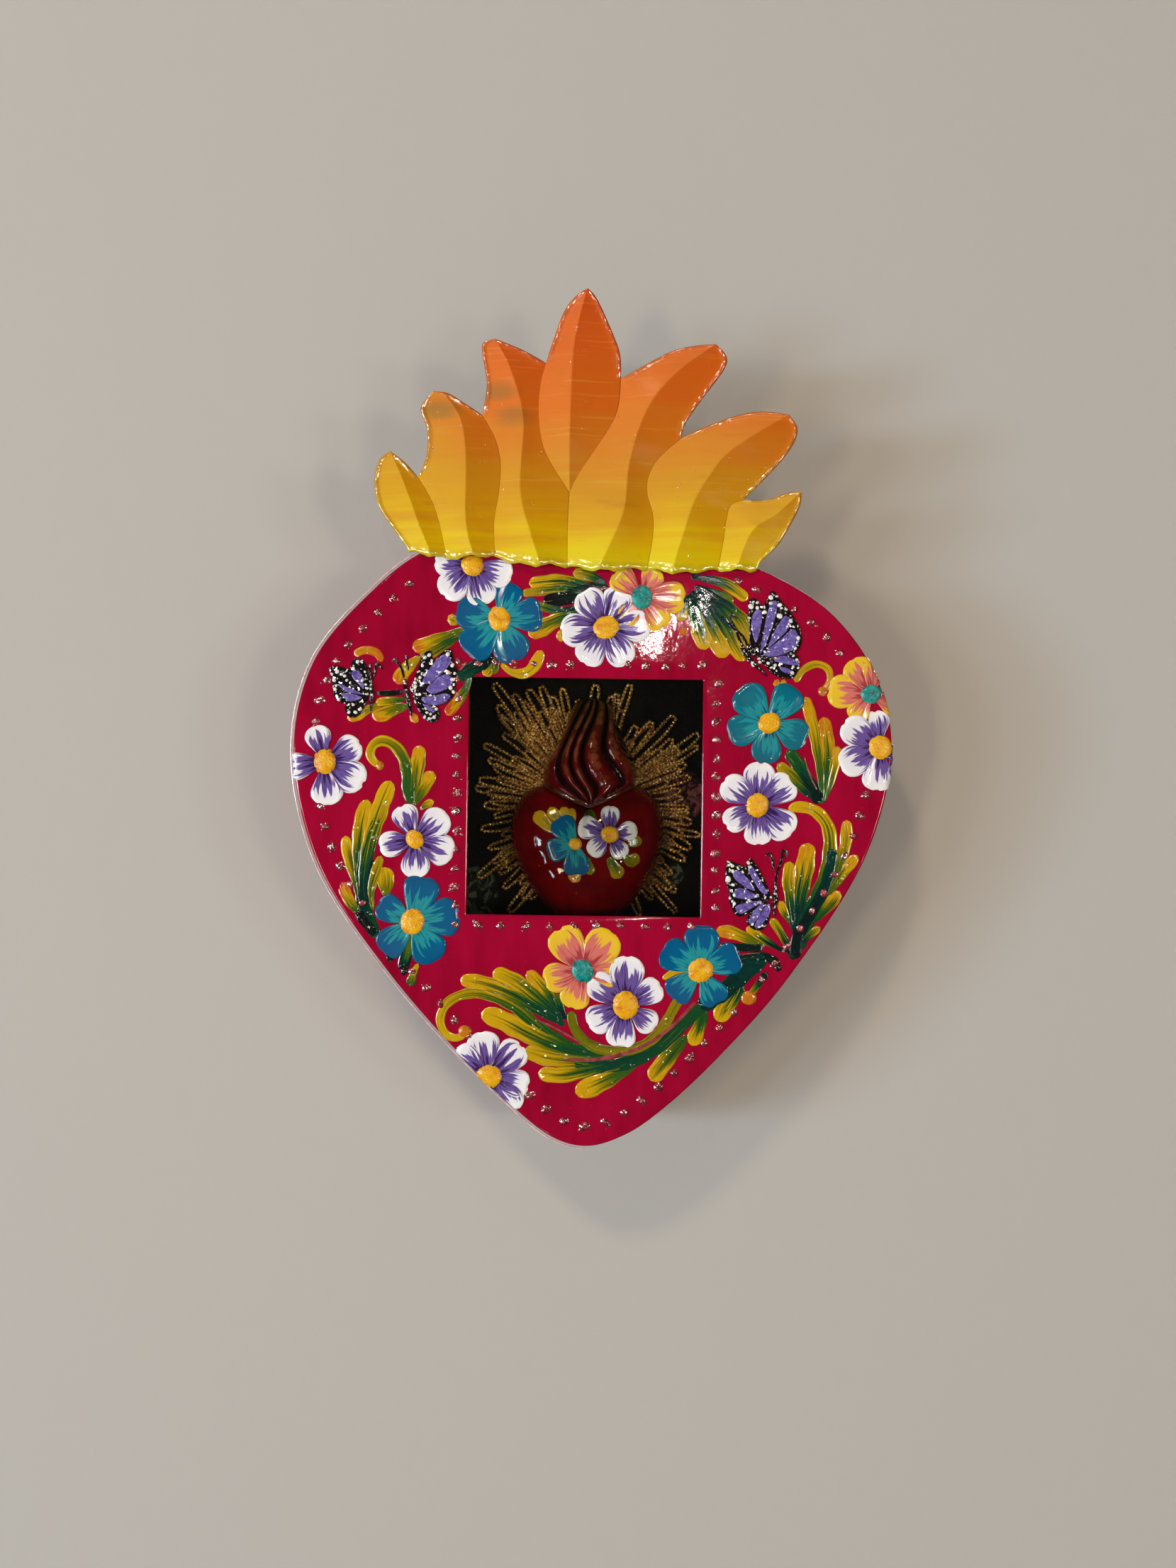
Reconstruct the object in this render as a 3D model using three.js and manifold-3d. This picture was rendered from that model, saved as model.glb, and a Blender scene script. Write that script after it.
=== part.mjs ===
// Devotional niche: a heart-shaped tin box that hangs on a wall under a crest of embossed tin flames.
// A square window shows a clay heart in a star of gold lace, which rides on a door in the back.
// Millimetres. X runs right seen from the front, Y runs to the wall, Z runs up.
// Heights are measured from the heart's tip, and the last lines put the origin at the hanging point.
import * as THREE from 'three';
import { mergeGeometries, mergeVertices } from 'three/addons/utils/BufferGeometryUtils.js';
import Module from 'manifold-3d';

const wasm = await Module();
wasm.setup();

// Sheet, clearances and depths
const tin = 0.5;
const gap = 0.3;
const cutOver = 1;
const nicheDepth = 32;
const hemDepth = 4;
const hemWidth = 2;

// Heart outline, one smooth closed curve through these points, clockwise from the cleft
const heartPoints = [
  [0, 166.5], [15, 167.6], [31, 168], [46, 163.4], [66.4, 151.4], [79.8, 133.6], [84.6, 113.4],
  [78, 83.4], [55.4, 47.4], [38, 27.4], [21.2, 11.4], [9.8, 3.4], [-1.2, 0], [-11, 2.4],
  [-29, 17.6], [-57.8, 49.6], [-78.2, 81.6], [-84.2, 113.6], [-78.2, 137.6], [-61.2, 157.6],
  [-49.8, 166.6], [-33, 173.4], [-15, 171],
];
const heartSteps = 120;
const heartDivisions = 800;
const tipSearchSteps = 1200;
const leastStripSteps = 4;

// Window in the heart's front, a little out of true as cut by hand
const windowX = -2;
const windowUp = 98.5;
const windowWidth = 66;
const windowHeight = 67;
const windowTiltDeg = -0.8;

// Punched dots, raised towards the viewer
const dotRadius = 1.1;
const dotHeight = 0.8;
const dotSides = 6;
const dotSink = 0.1;
const edgeDotInset = 5.6;
const edgeDotPitch = 6.4;
const windowDotMargin = 4.4;
const windowDotPitch = 5.3;
const dotsBelowCrest = 3;

// Glass and its clips
const glassThickness = 2;
const glassLap = 1.9;
const glassWidth = windowWidth + 2 * glassLap;
const glassHeight = windowHeight + 2 * glassLap;
const clipLength = 12;
const clipTongue = 3;
const clipFoot = 2.4;
const clipReach = gap + clipFoot;

// Square tin tube round the glass and its clips, its floor below the sill
const boxBesideClip = 1.2;
const boxOverClip = 0.7;
const boxUnderClip = 11.1;
const boxWidth = glassWidth + 2 * (clipReach + boxBesideClip);
const boxTopAboveCentre = glassHeight / 2 + clipReach + boxOverClip;
const boxFloorBelowCentre = glassHeight / 2 + clipReach + boxUnderClip;

// Back door, hinge and latch
const doorLap = 3;
const doorHingeLap = 0.8;
const hingeSetback = 2.2;
const pinRadius = 0.5;
const knuckleWall = 0.5;
const fixedKnuckleLength = 12;
const doorKnuckleLength = 35;
const hingeLeafWidth = 8;
const hingeLeafThickness = 0.4;
const latchSetback = 4.2;
const latchLength = 15;
const latchWidth = 6;
const latchShaftRadius = 0.8;
const latchFootRadius = 2;
const latchFootHeight = 0.7;
const latchHeadRadius = 1.9;
const latchHeadHeight = 0.6;
const latchSides = 16;
const roundSides = 12;
const endArcSteps = 6;
const pullWidth = 14;
const pullFoot = 4;
const pullHeight = 2.8;
const pullFromEdge = 7;

// Hanging ring and its strap
const ringRadius = 4.5;
const ringWire = 0.7;
const ringSides = 28;
const wireSides = 8;
const hangBelowCleft = 14;
const hangHeight = heartPoints[0][1] - hangBelowCleft;
const strapWidth = 4;
const strapTail = 5;

// What the door carries
const cardThickness = 2;
const cardClearance = 0.6;
const fabricThickness = 0.5;
const fabricMargin = 0.4;
const laceThickness = 1.5;
const laceDiscRadius = 17;
const laceHubRadius = 4;
const laceLoops = 24;
const laceFans = 6;
const laceReach = 31.5;
const laceFanSwing = 4;
const laceLoopWidth = 4.6;
const laceCord = 1.5;
const laceDiscSides = 36;
const laceArcSteps = 4;
const laceEyeArcSteps = 2;

// Clay heart and its flame
const clayX = -1.4;
const clayHeartHalf = [
  [0, 95.5], [4.6, 100], [11.4, 102.4], [18.6, 99.6], [22.9, 91.5], [22.3, 82.5],
  [17.8, 72.5], [11, 63], [4.6, 55], [0, 52.4],
];
const clayHeartSteps = 40;
const clayHeartRings = [1, 0.95, 0.84, 0.66, 0.42, 0.18];
const clayHeartCrown = 2.6;
const clayHeartCentreUp = 80;
const clayHeartBulge = 15;
const clayRim = 1.5;
const clayFlameTip = 128.2;
const clayFlameFoot = 95.5;
const clayFlameWidth = 28;
const clayFlameBulge = 14;
const clayFlameRows = 14;
const clayFlameColumns = 22;
const clayFlameLowness = 0.72;
const clayFlamePlumpness = 0.8;
const clayFlameLeastSwell = 0.04;
const clayFlameFlutes = 7;
const clayFluteDepth = 0.12;
const clayFluteLean = 1.1;

// Seams of the side band
const seamGap = 0.3;
const seamTabHalf = 8;

// Flame crest: embossed tin, seven tongues, each a ridge between two valleys or free edges
const crestRidge = 2.6;
const crestFullAt = 8;
const crestStep = 6;
const crestBase = [
  [-51.2, 167.6], [-41, 167], [-27.2, 166.3], [-6.8, 163.7], [15.6, 162.9], [35.5, 162.5], [46.2, 163.7],
];
const crestNotches = [
  [-49, 188.7], [-30.8, 206.1], [-12.9, 220.7], [8.2, 216.3], [25.3, 199.6], [42.7, 182.1],
];
const crestFork = [-6.3, 184.3];
const crestTips = [
  [-56.8, 195.9], [-44.6, 212.7], [-27.2, 227.5], [-1.2, 241.8], [35, 226], [55.4, 206.2], [59, 184.6],
];

// Valleys between neighbouring tongues, the one left of the fourth tongue in two parts round the fork
const crestValleys = [
  [[-43, 176], [-45.1, 182.1]],
  [[-27.5, 176], [-26.2, 184.1], [-25.7, 192.3], [-27.2, 199.4]],
  [[-11.4, 192.3], [-14, 198.4], [-15, 206.6], [-14.5, 214.7]],
  [[-3.2, 190.3], [4.9, 202.5], [7.5, 208.6]],
  [[17.2, 171.9], [17.2, 178], [15.6, 184.1], [16.1, 189.2], [19.2, 194.3]],
  [[37.1, 170.9], [37.8, 176], [39.1, 180.6]],
];
const crestForkFoot = [[-6.8, 173.9]];

// Free edges of each tongue up to its tip, and its ridge from the foot up
const crestLeftEdges = [
  [[-55.8, 173.9], [-59.9, 180.1], [-61.2, 187.2], [-59.9, 193.3]],
  [[-46.6, 194.5], [-46.4, 202], [-48.2, 208.1]],
  [[-29.6, 214.7], [-30.8, 222.9], [-30.6, 226.3]],
  [[-10.9, 227], [-7.8, 235.2], [-4.3, 239.7]],
  [[21.2, 223.4], [28.4, 225.4]],
  [[31.4, 202.5], [40.6, 205.8], [47.8, 207]],
  [[48.8, 182.1], [54.9, 184.1]],
];
const crestRightEdges = [
  [[-52.7, 192.8]],
  [[-35.4, 209.1], [-40.5, 212.2]],
  [[-19.6, 224.4]],
  [[8, 222.9], [5.9, 229], [1.6, 238.5]],
  [[26.3, 203.5], [30.4, 209.6], [38, 220.5]],
  [[49.8, 189.2], [55.9, 196.4], [57.9, 202]],
  [[51.9, 168.8], [55.9, 175], [58.6, 180.6]],
];
const crestRidges = [
  [[-45.1, 167.3], [-48.1, 173.9], [-50.7, 181.1], [-53.8, 189.2]],
  [[-33.3, 166.6], [-35.4, 176], [-35.4, 194.3], [-36.9, 204.5], [-41, 211]],
  [[-14.5, 164.3], [-17.5, 172.9], [-20.3, 185], [-19.3, 204.5], [-23.1, 218.8]],
  [crestFork, [-6.3, 201.5], [-5.5, 221.9], [-3.8, 232.1]],
  [[1.9, 163.3], [8.6, 178], [10.4, 192], [14.1, 204.5], [19.2, 212.7], [26.3, 219.8]],
  [[22.3, 162.7], [25.3, 171.9], [28.4, 181.1], [32.5, 188.2], [38.6, 195.4]],
  [[40.5, 162.9], [44.7, 172.9], [51.9, 178]],
];

// Depth levels that follow from the sizes above
const plateRear = -nicheDepth + tin;
const coverRear = -hemDepth;
const coverFront = coverRear - tin;
const doorRear = coverRear + tin;
const crestRear = -nicheDepth - gap;
const glassFront = plateRear + gap;
const glassRear = glassFront + glassThickness;
const cardFront = coverRear - cardThickness;
const fabricFront = cardFront - fabricThickness;
const laceFront = fabricFront - laceThickness;
const hingeY = coverRear + pinRadius + gap + knuckleWall;
const knuckleRadius = pinRadius + gap + knuckleWall;
const ringSag = ringRadius - Math.sqrt(ringRadius ** 2 - (strapWidth / 2) ** 2);
const tunnelHalf = ringWire + gap + ringSag;
const tunnelFoot = coverRear + tin;
const tunnelRoof = tunnelFoot + 2 * (ringWire + gap) + ringSag;
const ringY = tunnelFoot + gap + ringWire;

// Places in the window's own frame
const boxHalf = boxWidth / 2;
const boxHeight = boxTopAboveCentre + boxFloorBelowCentre;
const boxMidUp = (boxTopAboveCentre - boxFloorBelowCentre) / 2;
const hingeX = -boxHalf - hingeSetback;
const doorRight = boxHalf + doorLap;
const doorLeft = -boxHalf - doorHingeLap;
const latchX = doorRight + latchSetback;

const materials = {
  magenta: new THREE.MeshStandardMaterial({ color: 0x9a0c2c, roughness: 0.32, metalness: 0.1 }),
  flame: new THREE.MeshStandardMaterial({ color: 0xcc7128, roughness: 0.3, metalness: 0.1 }),
  bareTin: new THREE.MeshStandardMaterial({ color: 0xa9abaa, roughness: 0.42, metalness: 0.9 }),
  wire: new THREE.MeshStandardMaterial({ color: 0x8f8f8c, roughness: 0.35, metalness: 0.95 }),
  glass: new THREE.MeshStandardMaterial({
    color: 0xe8f1ee, roughness: 0.03, transparent: true, opacity: 0.2,
  }),
  card: new THREE.MeshStandardMaterial({ color: 0x8a6f4d, roughness: 0.95 }),
  fabric: new THREE.MeshStandardMaterial({ color: 0x14100b, roughness: 0.95 }),
  lace: new THREE.MeshStandardMaterial({ color: 0xb08a32, roughness: 0.4, metalness: 0.85 }),
  clay: new THREE.MeshStandardMaterial({ color: 0x7a0a0c, roughness: 0.2 }),
};

// Solids

function toSolid(geometry) {
  const bare = geometry.clone();
  bare.deleteAttribute('normal');
  bare.deleteAttribute('uv');
  const merged = mergeVertices(bare, 1e-4);
  const vertProperties = new Float32Array(merged.attributes.position.array);
  const triVerts = new Uint32Array(merged.index.array);
  return new wasm.Manifold(new wasm.Mesh({ numProp: 3, vertProperties, triVerts }));
}

function toGeometry(solid) {
  const mesh = solid.getMesh();
  const geometry = new THREE.BufferGeometry();
  geometry.setAttribute('position', new THREE.BufferAttribute(mesh.vertProperties, 3));
  geometry.setIndex(new THREE.BufferAttribute(mesh.triVerts, 1));
  geometry.computeVertexNormals();
  return geometry;
}

function fuse(...geometries) {
  const solids = geometries.map(toSolid);
  return toGeometry(solids.slice(1).reduce((all, next) => all.add(next), solids[0]));
}

function cut(body, ...tools) {
  return toGeometry(tools.map(toSolid).reduce((rest, tool) => rest.subtract(tool), toSolid(body)));
}

// A flat sheet in the X-Z plane whose rear face is at rearY.
function sheet(shape, rearY, thickness = tin) {
  const geometry = new THREE.ExtrudeGeometry(shape, { depth: thickness, bevelEnabled: false });
  geometry.rotateX(Math.PI / 2);
  geometry.translate(0, rearY, 0);
  return geometry;
}

// A box from its lowest to its highest corner.
function block(low, high) {
  const size = high.map((value, axis) => value - low[axis]);
  const geometry = new THREE.BoxGeometry(...size);
  geometry.translate(...low.map((value, axis) => value + size[axis] / 2));
  return geometry;
}

function rod(radius, lowUp, highUp, x, y) {
  const geometry = new THREE.CylinderGeometry(radius, radius, highUp - lowUp, roundSides);
  geometry.rotateX(Math.PI / 2);
  geometry.translate(x, y, (lowUp + highUp) / 2);
  return geometry;
}

// A closed solid between a front surface and a rear surface that share their triangles.
function solidBetween(front, rear, triangles) {
  const facing = triangles.map(([a, b, c]) => {
    const [p, q, r] = [front[a], front[b], front[c]];
    const turn = (q.z - p.z) * (r.x - p.x) - (q.x - p.x) * (r.z - p.z);
    return turn < 0 ? [a, b, c] : [a, c, b];
  });
  const edges = new Map();
  for (const [a, b, c] of facing) {
    for (const [from, to] of [[a, b], [b, c], [c, a]]) {
      if (edges.has(`${to} ${from}`)) edges.delete(`${to} ${from}`);
      else edges.set(`${from} ${to}`, [from, to]);
    }
  }
  const index = [];
  const rearAt = front.length;
  for (const [a, b, c] of facing) index.push(a, b, c, rearAt + a, rearAt + c, rearAt + b);
  for (const [from, to] of edges.values()) {
    index.push(from, rearAt + from, to, to, rearAt + from, rearAt + to);
  }
  const geometry = new THREE.BufferGeometry();
  const flat = [...front, ...rear].flatMap((point) => point.toArray());
  geometry.setAttribute('position', new THREE.Float32BufferAttribute(flat, 3));
  geometry.setIndex(index);
  geometry.computeVertexNormals();
  return geometry;
}

// Heart outline and what follows it

const heartCurve = new THREE.CatmullRomCurve3(
  heartPoints.map(([x, up]) => new THREE.Vector3(x, 0, up)), true, 'centripetal',
);
heartCurve.arcLengthDivisions = heartDivisions;
const heartLength = heartCurve.getLength();

// The point at a share of the way round, moved inwards.
function heartPoint(share, inset) {
  const place = (share + 1) % 1;
  const point = heartCurve.getPointAt(place);
  const along = heartCurve.getTangentAt(place);
  return new THREE.Vector2(point.x + along.z * inset, point.z - along.x * inset);
}

// The share at which the outline reaches its lowest point, the heart's tip.
function tipShare() {
  const shares = Array.from({ length: tipSearchSteps }, (_, i) => i / tipSearchSteps);
  return shares.reduce((best, share) => (heartPoint(share, 0).y < heartPoint(best, 0).y ? share : best));
}
const heartTip = tipShare();

function heartOutline(inset) {
  return Array.from({ length: heartSteps }, (_, i) => heartPoint(i / heartSteps, inset));
}

// A strip that follows the outline; its profile is a list of inset and depth pairs.
function stripAlongHeart(profile, fromShare, toShare) {
  const steps = Math.max(leastStripSteps, Math.round(Math.abs(toShare - fromShare) * heartSteps));
  const positions = [];
  for (let i = 0; i <= steps; i += 1) {
    const share = fromShare + ((toShare - fromShare) * i) / steps;
    for (const [inset, y] of profile) {
      const point = heartPoint(share, inset);
      positions.push(point.x, y, point.y);
    }
  }
  const ring = profile.length;
  const index = [];
  for (let i = 0; i < steps; i += 1) {
    for (let k = 0; k < ring; k += 1) {
      const a = i * ring + k;
      const b = i * ring + ((k + 1) % ring);
      index.push(a, b, a + ring, b, b + ring, a + ring);
    }
  }
  const section = profile.map(([inset, y]) => new THREE.Vector2(inset, y));
  const clockwise = THREE.ShapeUtils.isClockWise(section);
  for (const [a, b, c] of THREE.ShapeUtils.triangulateShape(section, [])) {
    const same = THREE.ShapeUtils.isClockWise([section[a], section[b], section[c]]) === clockwise;
    const [from, to] = same ? [b, c] : [c, b];
    index.push(a, to, from, steps * ring + a, steps * ring + from, steps * ring + to);
  }
  const geometry = new THREE.BufferGeometry();
  geometry.setAttribute('position', new THREE.Float32BufferAttribute(positions, 3));
  geometry.setIndex(index);
  geometry.computeVertexNormals();
  return toSolid(geometry).volume() < 0 ? turnedOut(geometry) : geometry;
}

function turnedOut(geometry) {
  const index = Array.from(geometry.index.array);
  for (let i = 0; i < index.length; i += 3) [index[i + 1], index[i + 2]] = [index[i + 2], index[i + 1]];
  geometry.setIndex(index);
  geometry.computeVertexNormals();
  return geometry;
}

function rectangle(width, height, up = 0) {
  const shape = new THREE.Shape();
  shape.moveTo(-width / 2, up - height / 2);
  shape.lineTo(width / 2, up - height / 2);
  shape.lineTo(width / 2, up + height / 2);
  shape.lineTo(-width / 2, up + height / 2);
  shape.closePath();
  return shape;
}

// Points of a rectangle turned and placed as the window is.
function placedAtWindow(points) {
  const turn = THREE.MathUtils.degToRad(windowTiltDeg);
  const centre = new THREE.Vector2(windowX, windowUp);
  return points.map((point) => point.clone().rotateAround(new THREE.Vector2(), turn).add(centre));
}

// Front plate

function edgeDots() {
  const crestFoot = Math.min(...crestBase.map(([, up]) => up));
  const count = Math.round(heartLength / edgeDotPitch);
  const places = Array.from({ length: count }, (_, i) => heartPoint((i + 0.5) / count, edgeDotInset));
  return places.filter((place) => place.y < crestFoot - dotsBelowCrest);
}

function windowDots() {
  const halfX = windowWidth / 2 + windowDotMargin;
  const halfUp = windowHeight / 2 + windowDotMargin;
  const across = Math.round((2 * halfX) / windowDotPitch);
  const tall = Math.round((2 * halfUp) / windowDotPitch);
  const places = [];
  for (let i = 0; i < across; i += 1) {
    const x = -halfX + (2 * halfX * i) / across;
    places.push(new THREE.Vector2(x, halfUp), new THREE.Vector2(-x, -halfUp));
  }
  for (let i = 0; i < tall; i += 1) {
    const up = -halfUp + (2 * halfUp * i) / tall;
    places.push(new THREE.Vector2(-halfX, up), new THREE.Vector2(halfX, -up));
  }
  return placedAtWindow(places);
}

function dotCone(place) {
  const geometry = new THREE.ConeGeometry(dotRadius, dotHeight + dotSink, dotSides);
  geometry.rotateX(Math.PI);
  geometry.translate(place.x, -nicheDepth + dotSink - (dotHeight + dotSink) / 2, place.y);
  return geometry;
}

function frontPlate() {
  const shape = new THREE.Shape(heartOutline(0));
  const opening = placedAtWindow(rectangle(windowWidth, windowHeight).getPoints());
  shape.holes.push(new THREE.Path(opening));
  const dots = mergeGeometries([...edgeDots(), ...windowDots()].map(dotCone));
  return fuse(sheet(shape, plateRear), dots);
}

// Side band, its seams and the cover

function sideBand(fromShare, toShare) {
  const profile = [
    [0, plateRear], [0, 0], [hemWidth, 0], [hemWidth, coverRear], [tin, coverRear], [tin, plateRear],
  ];
  return stripAlongHeart(profile, fromShare, toShare);
}

function seamTab(share) {
  const inner = tin + gap;
  const half = seamTabHalf / heartLength;
  const [front, rear] = [plateRear + gap, coverFront - gap];
  const profile = [[inner, front], [inner, rear], [inner + tin, rear], [inner + tin, front]];
  return stripAlongHeart(profile, share - half, share + half);
}

function backCover() {
  const shape = new THREE.Shape(heartOutline(tin + gap));
  const corners = rectangle(boxWidth, boxHeight, boxMidUp).getPoints();
  const placed = corners.map((corner) => new THREE.Vector2(corner.x + windowX, corner.y + windowUp));
  shape.holes.push(new THREE.Path(placed));
  return sheet(shape, coverRear);
}

// Niche box and glass, in the window's frame

function nicheBox() {
  const shape = rectangle(boxWidth + 2 * tin, boxHeight + 2 * tin, boxMidUp);
  shape.holes.push(new THREE.Path(rectangle(boxWidth, boxHeight, boxMidUp).getPoints()));
  return sheet(shape, coverFront, coverFront - plateRear);
}

// A clip folded from a strip: a foot on the plate, a riser past the glass and a tongue behind it.
// It is made at the right-hand edge of a pane of the given width and turned about Y by its angle.
function glassClip(paneWidth, turn) {
  const edge = paneWidth / 2 + gap;
  const shape = new THREE.Shape();
  shape.moveTo(edge, plateRear);
  shape.lineTo(edge + clipFoot, plateRear);
  shape.lineTo(edge + clipFoot, plateRear + tin);
  shape.lineTo(edge + tin, plateRear + tin);
  shape.lineTo(edge + tin, glassRear + tin);
  shape.lineTo(edge - gap - clipTongue, glassRear + tin);
  shape.lineTo(edge - gap - clipTongue, glassRear);
  shape.lineTo(edge, glassRear);
  shape.closePath();
  const geometry = new THREE.ExtrudeGeometry(shape, { depth: clipLength, bevelEnabled: false });
  geometry.translate(0, 0, -clipLength / 2);
  geometry.rotateY(turn);
  return geometry;
}

// Door, hinge and latch, in the window's frame

function backDoor() {
  const shape = new THREE.Shape();
  const top = boxTopAboveCentre + doorLap;
  const foot = -boxFloorBelowCentre - doorLap;
  shape.moveTo(doorLeft, foot);
  shape.lineTo(doorRight, foot);
  shape.lineTo(doorRight, top);
  shape.lineTo(doorLeft, top);
  shape.closePath();
  return sheet(shape, doorRear);
}

// A knuckle round the pin with its leaf, which lies on the face at leafFront and runs one way.
function knuckle(lowUp, highUp, leafFront, side) {
  const ends = [hingeX, hingeX + side * hingeLeafWidth].sort((a, b) => a - b);
  const leafRear = leafFront + hingeLeafThickness;
  const leaf = block([ends[0], leafFront, lowUp], [ends[1], leafRear, highUp]);
  const tube = rod(knuckleRadius, lowUp, highUp, hingeX, hingeY);
  const bore = rod(pinRadius + gap, lowUp - cutOver, highUp + cutOver, hingeX, hingeY);
  return cut(fuse(tube, leaf), bore);
}

const doorKnuckleTop = boxMidUp + doorKnuckleLength / 2;
const doorKnuckleFoot = boxMidUp - doorKnuckleLength / 2;
const fixedTopFoot = doorKnuckleTop + gap;
const fixedTopHead = fixedTopFoot + fixedKnuckleLength;
const fixedFootHead = doorKnuckleFoot - gap;
const fixedFootFoot = fixedFootHead - fixedKnuckleLength;
const pinOverhang = 1;

function latchRivet() {
  const footTop = coverRear + latchFootHeight;
  const headFoot = footTop + tin + 2 * gap;
  const headTop = headFoot + latchHeadHeight;
  const profile = [
    [0, coverRear], [latchFootRadius, coverRear], [latchFootRadius, footTop], [latchShaftRadius, footTop],
    [latchShaftRadius, headFoot], [latchHeadRadius, headFoot], [latchHeadRadius, headTop], [0, headTop],
  ].map(([radius, y]) => new THREE.Vector2(radius, y));
  const geometry = new THREE.LatheGeometry(profile, latchSides);
  geometry.translate(latchX, 0, boxMidUp);
  return geometry;
}

function turnButton() {
  const shape = new THREE.Shape();
  const straight = (latchLength - latchWidth) / 2;
  shape.absarc(0, straight, latchWidth / 2, 0, Math.PI);
  shape.absarc(0, -straight, latchWidth / 2, Math.PI, 2 * Math.PI);
  shape.closePath();
  shape.holes.push(new THREE.Path().absarc(0, 0, latchShaftRadius + gap, 0, 2 * Math.PI, true));
  const rearY = coverRear + latchFootHeight + gap + tin;
  const depthAndArcs = { depth: tin, bevelEnabled: false, curveSegments: endArcSteps };
  const geometry = new THREE.ExtrudeGeometry(shape, depthAndArcs);
  geometry.rotateX(Math.PI / 2);
  geometry.translate(latchX, rearY, boxMidUp);
  return geometry;
}

function doorPull() {
  const right = doorRight - pullFromEdge;
  const [low, high] = [boxMidUp - pullWidth / 2, boxMidUp + pullWidth / 2];
  const foot = block([right - pullFoot, doorRear, low], [right, doorRear + tin, high]);
  const tab = block([right - tin, doorRear, low], [right, doorRear + pullHeight, high]);
  return fuse(foot, tab);
}

// Hanging ring and strap, at the hanging point

// A strip wrapped round the ring's wire, with a tail up the cover.
function hangerStrap() {
  const outer = tunnelHalf + tin;
  const side = strapWidth / 2;
  const [foot, head, tail] = [hangHeight - outer, hangHeight + outer, hangHeight + outer + strapTail];
  const [tunnelLow, tunnelHigh] = [hangHeight - tunnelHalf, hangHeight + tunnelHalf];
  const wrap = block([-side, coverRear, foot], [side, tunnelRoof + tin, head]);
  const strip = block([-side, coverRear, foot], [side, tunnelFoot, tail]);
  const tunnel = block([-strapWidth, tunnelFoot, tunnelLow], [strapWidth, tunnelRoof, tunnelHigh]);
  return cut(fuse(wrap, strip), tunnel);
}

function hangingRing() {
  const geometry = new THREE.TorusGeometry(ringRadius, ringWire, wireSides, ringSides);
  geometry.rotateX(Math.PI / 2);
  geometry.translate(0, ringY, hangHeight - ringRadius);
  return geometry;
}

// What the door carries

function cardSheet(inset, rearY, thickness) {
  const width = boxWidth - 2 * (cardClearance + inset);
  const height = boxHeight - 2 * (cardClearance + inset);
  return sheet(rectangle(width, height, boxMidUp), rearY, thickness);
}

// One loop of lace: a long ring of cord that starts inside the disc.
function laceLoop(turn, reach) {
  const half = laceLoopWidth / 2;
  const far = reach - half;
  const shape = new THREE.Shape();
  shape.moveTo(half, laceHubRadius + half);
  shape.lineTo(half, far);
  shape.absarc(0, far, half, 0, Math.PI);
  shape.lineTo(-half, laceHubRadius + half);
  shape.closePath();
  const eye = half - laceCord;
  const slot = new THREE.Path();
  slot.moveTo(-eye, laceDiscRadius + laceCord);
  slot.lineTo(-eye, far);
  slot.absarc(0, far, eye, Math.PI, 0, true);
  slot.lineTo(eye, laceDiscRadius + laceCord);
  slot.closePath();
  const solid = new THREE.ExtrudeGeometry(shape, {
    depth: laceThickness, bevelEnabled: false, curveSegments: laceArcSteps,
  });
  const hole = new THREE.ExtrudeGeometry(new THREE.Shape(slot.getPoints(laceEyeArcSteps)), {
    depth: laceThickness + 2 * cutOver, bevelEnabled: false,
  });
  hole.translate(0, 0, -cutOver);
  for (const geometry of [solid, hole]) {
    geometry.rotateZ(turn);
    geometry.rotateX(Math.PI / 2);
    geometry.translate(clayX - windowX, fabricFront, 0);
  }
  return { solid, hole };
}

// A disc with loops all round it, longest in the middle of each fan.
function goldLace() {
  const disc = new THREE.CylinderGeometry(laceDiscRadius, laceDiscRadius, laceThickness, laceDiscSides);
  disc.translate(clayX - windowX, fabricFront - laceThickness / 2, 0);
  const loops = Array.from({ length: laceLoops }, (_, i) => {
    const turn = (2 * Math.PI * (i + 0.5)) / laceLoops;
    const swing = Math.cos((2 * Math.PI * laceFans * i) / laceLoops) * laceFanSwing;
    return laceLoop(turn, laceReach + swing);
  });
  const body = fuse(disc, ...loops.map((loop) => loop.solid));
  return cut(body, ...loops.map((loop) => loop.hole));
}

// Clay heart: rings of its outline drawn in over a crowned front.
function clayHeartBody() {
  const half = clayHeartHalf.map(([x, up]) => new THREE.Vector3(x, 0, up));
  const mirrored = half.slice(1, -1).reverse().map((point) => new THREE.Vector3(-point.x, 0, point.z));
  const curve = new THREE.CatmullRomCurve3([...half, ...mirrored], true, 'centripetal');
  const outline = curve.getSpacedPoints(clayHeartSteps).slice(0, -1);
  const front = [];
  for (const share of clayHeartRings) {
    const y = laceFront - clayRim - (clayHeartBulge - clayRim) * Math.sqrt(1 - share ** clayHeartCrown);
    for (const point of outline) {
      const up = clayHeartCentreUp + (point.z - clayHeartCentreUp) * share;
      front.push(new THREE.Vector3(clayX + point.x * share, y, up));
    }
  }
  front.push(new THREE.Vector3(clayX, laceFront - clayHeartBulge, clayHeartCentreUp));
  const count = outline.length;
  const triangles = [];
  for (let ring = 0; ring + 1 < clayHeartRings.length; ring += 1) {
    for (let i = 0; i < count; i += 1) {
      const [a, b] = [ring * count + i, ring * count + ((i + 1) % count)];
      triangles.push([a, b, a + count], [b, b + count, a + count]);
    }
  }
  const last = (clayHeartRings.length - 1) * count;
  for (let i = 0; i < count; i += 1) triangles.push([last + i, last + ((i + 1) % count), front.length - 1]);
  return solidBetween(front, pressedFlat(front), triangles);
}

// The rear of a clay piece, flat against the lace.
function pressedFlat(front) {
  return front.map((point) => new THREE.Vector3(point.x, laceFront, point.z));
}

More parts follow.
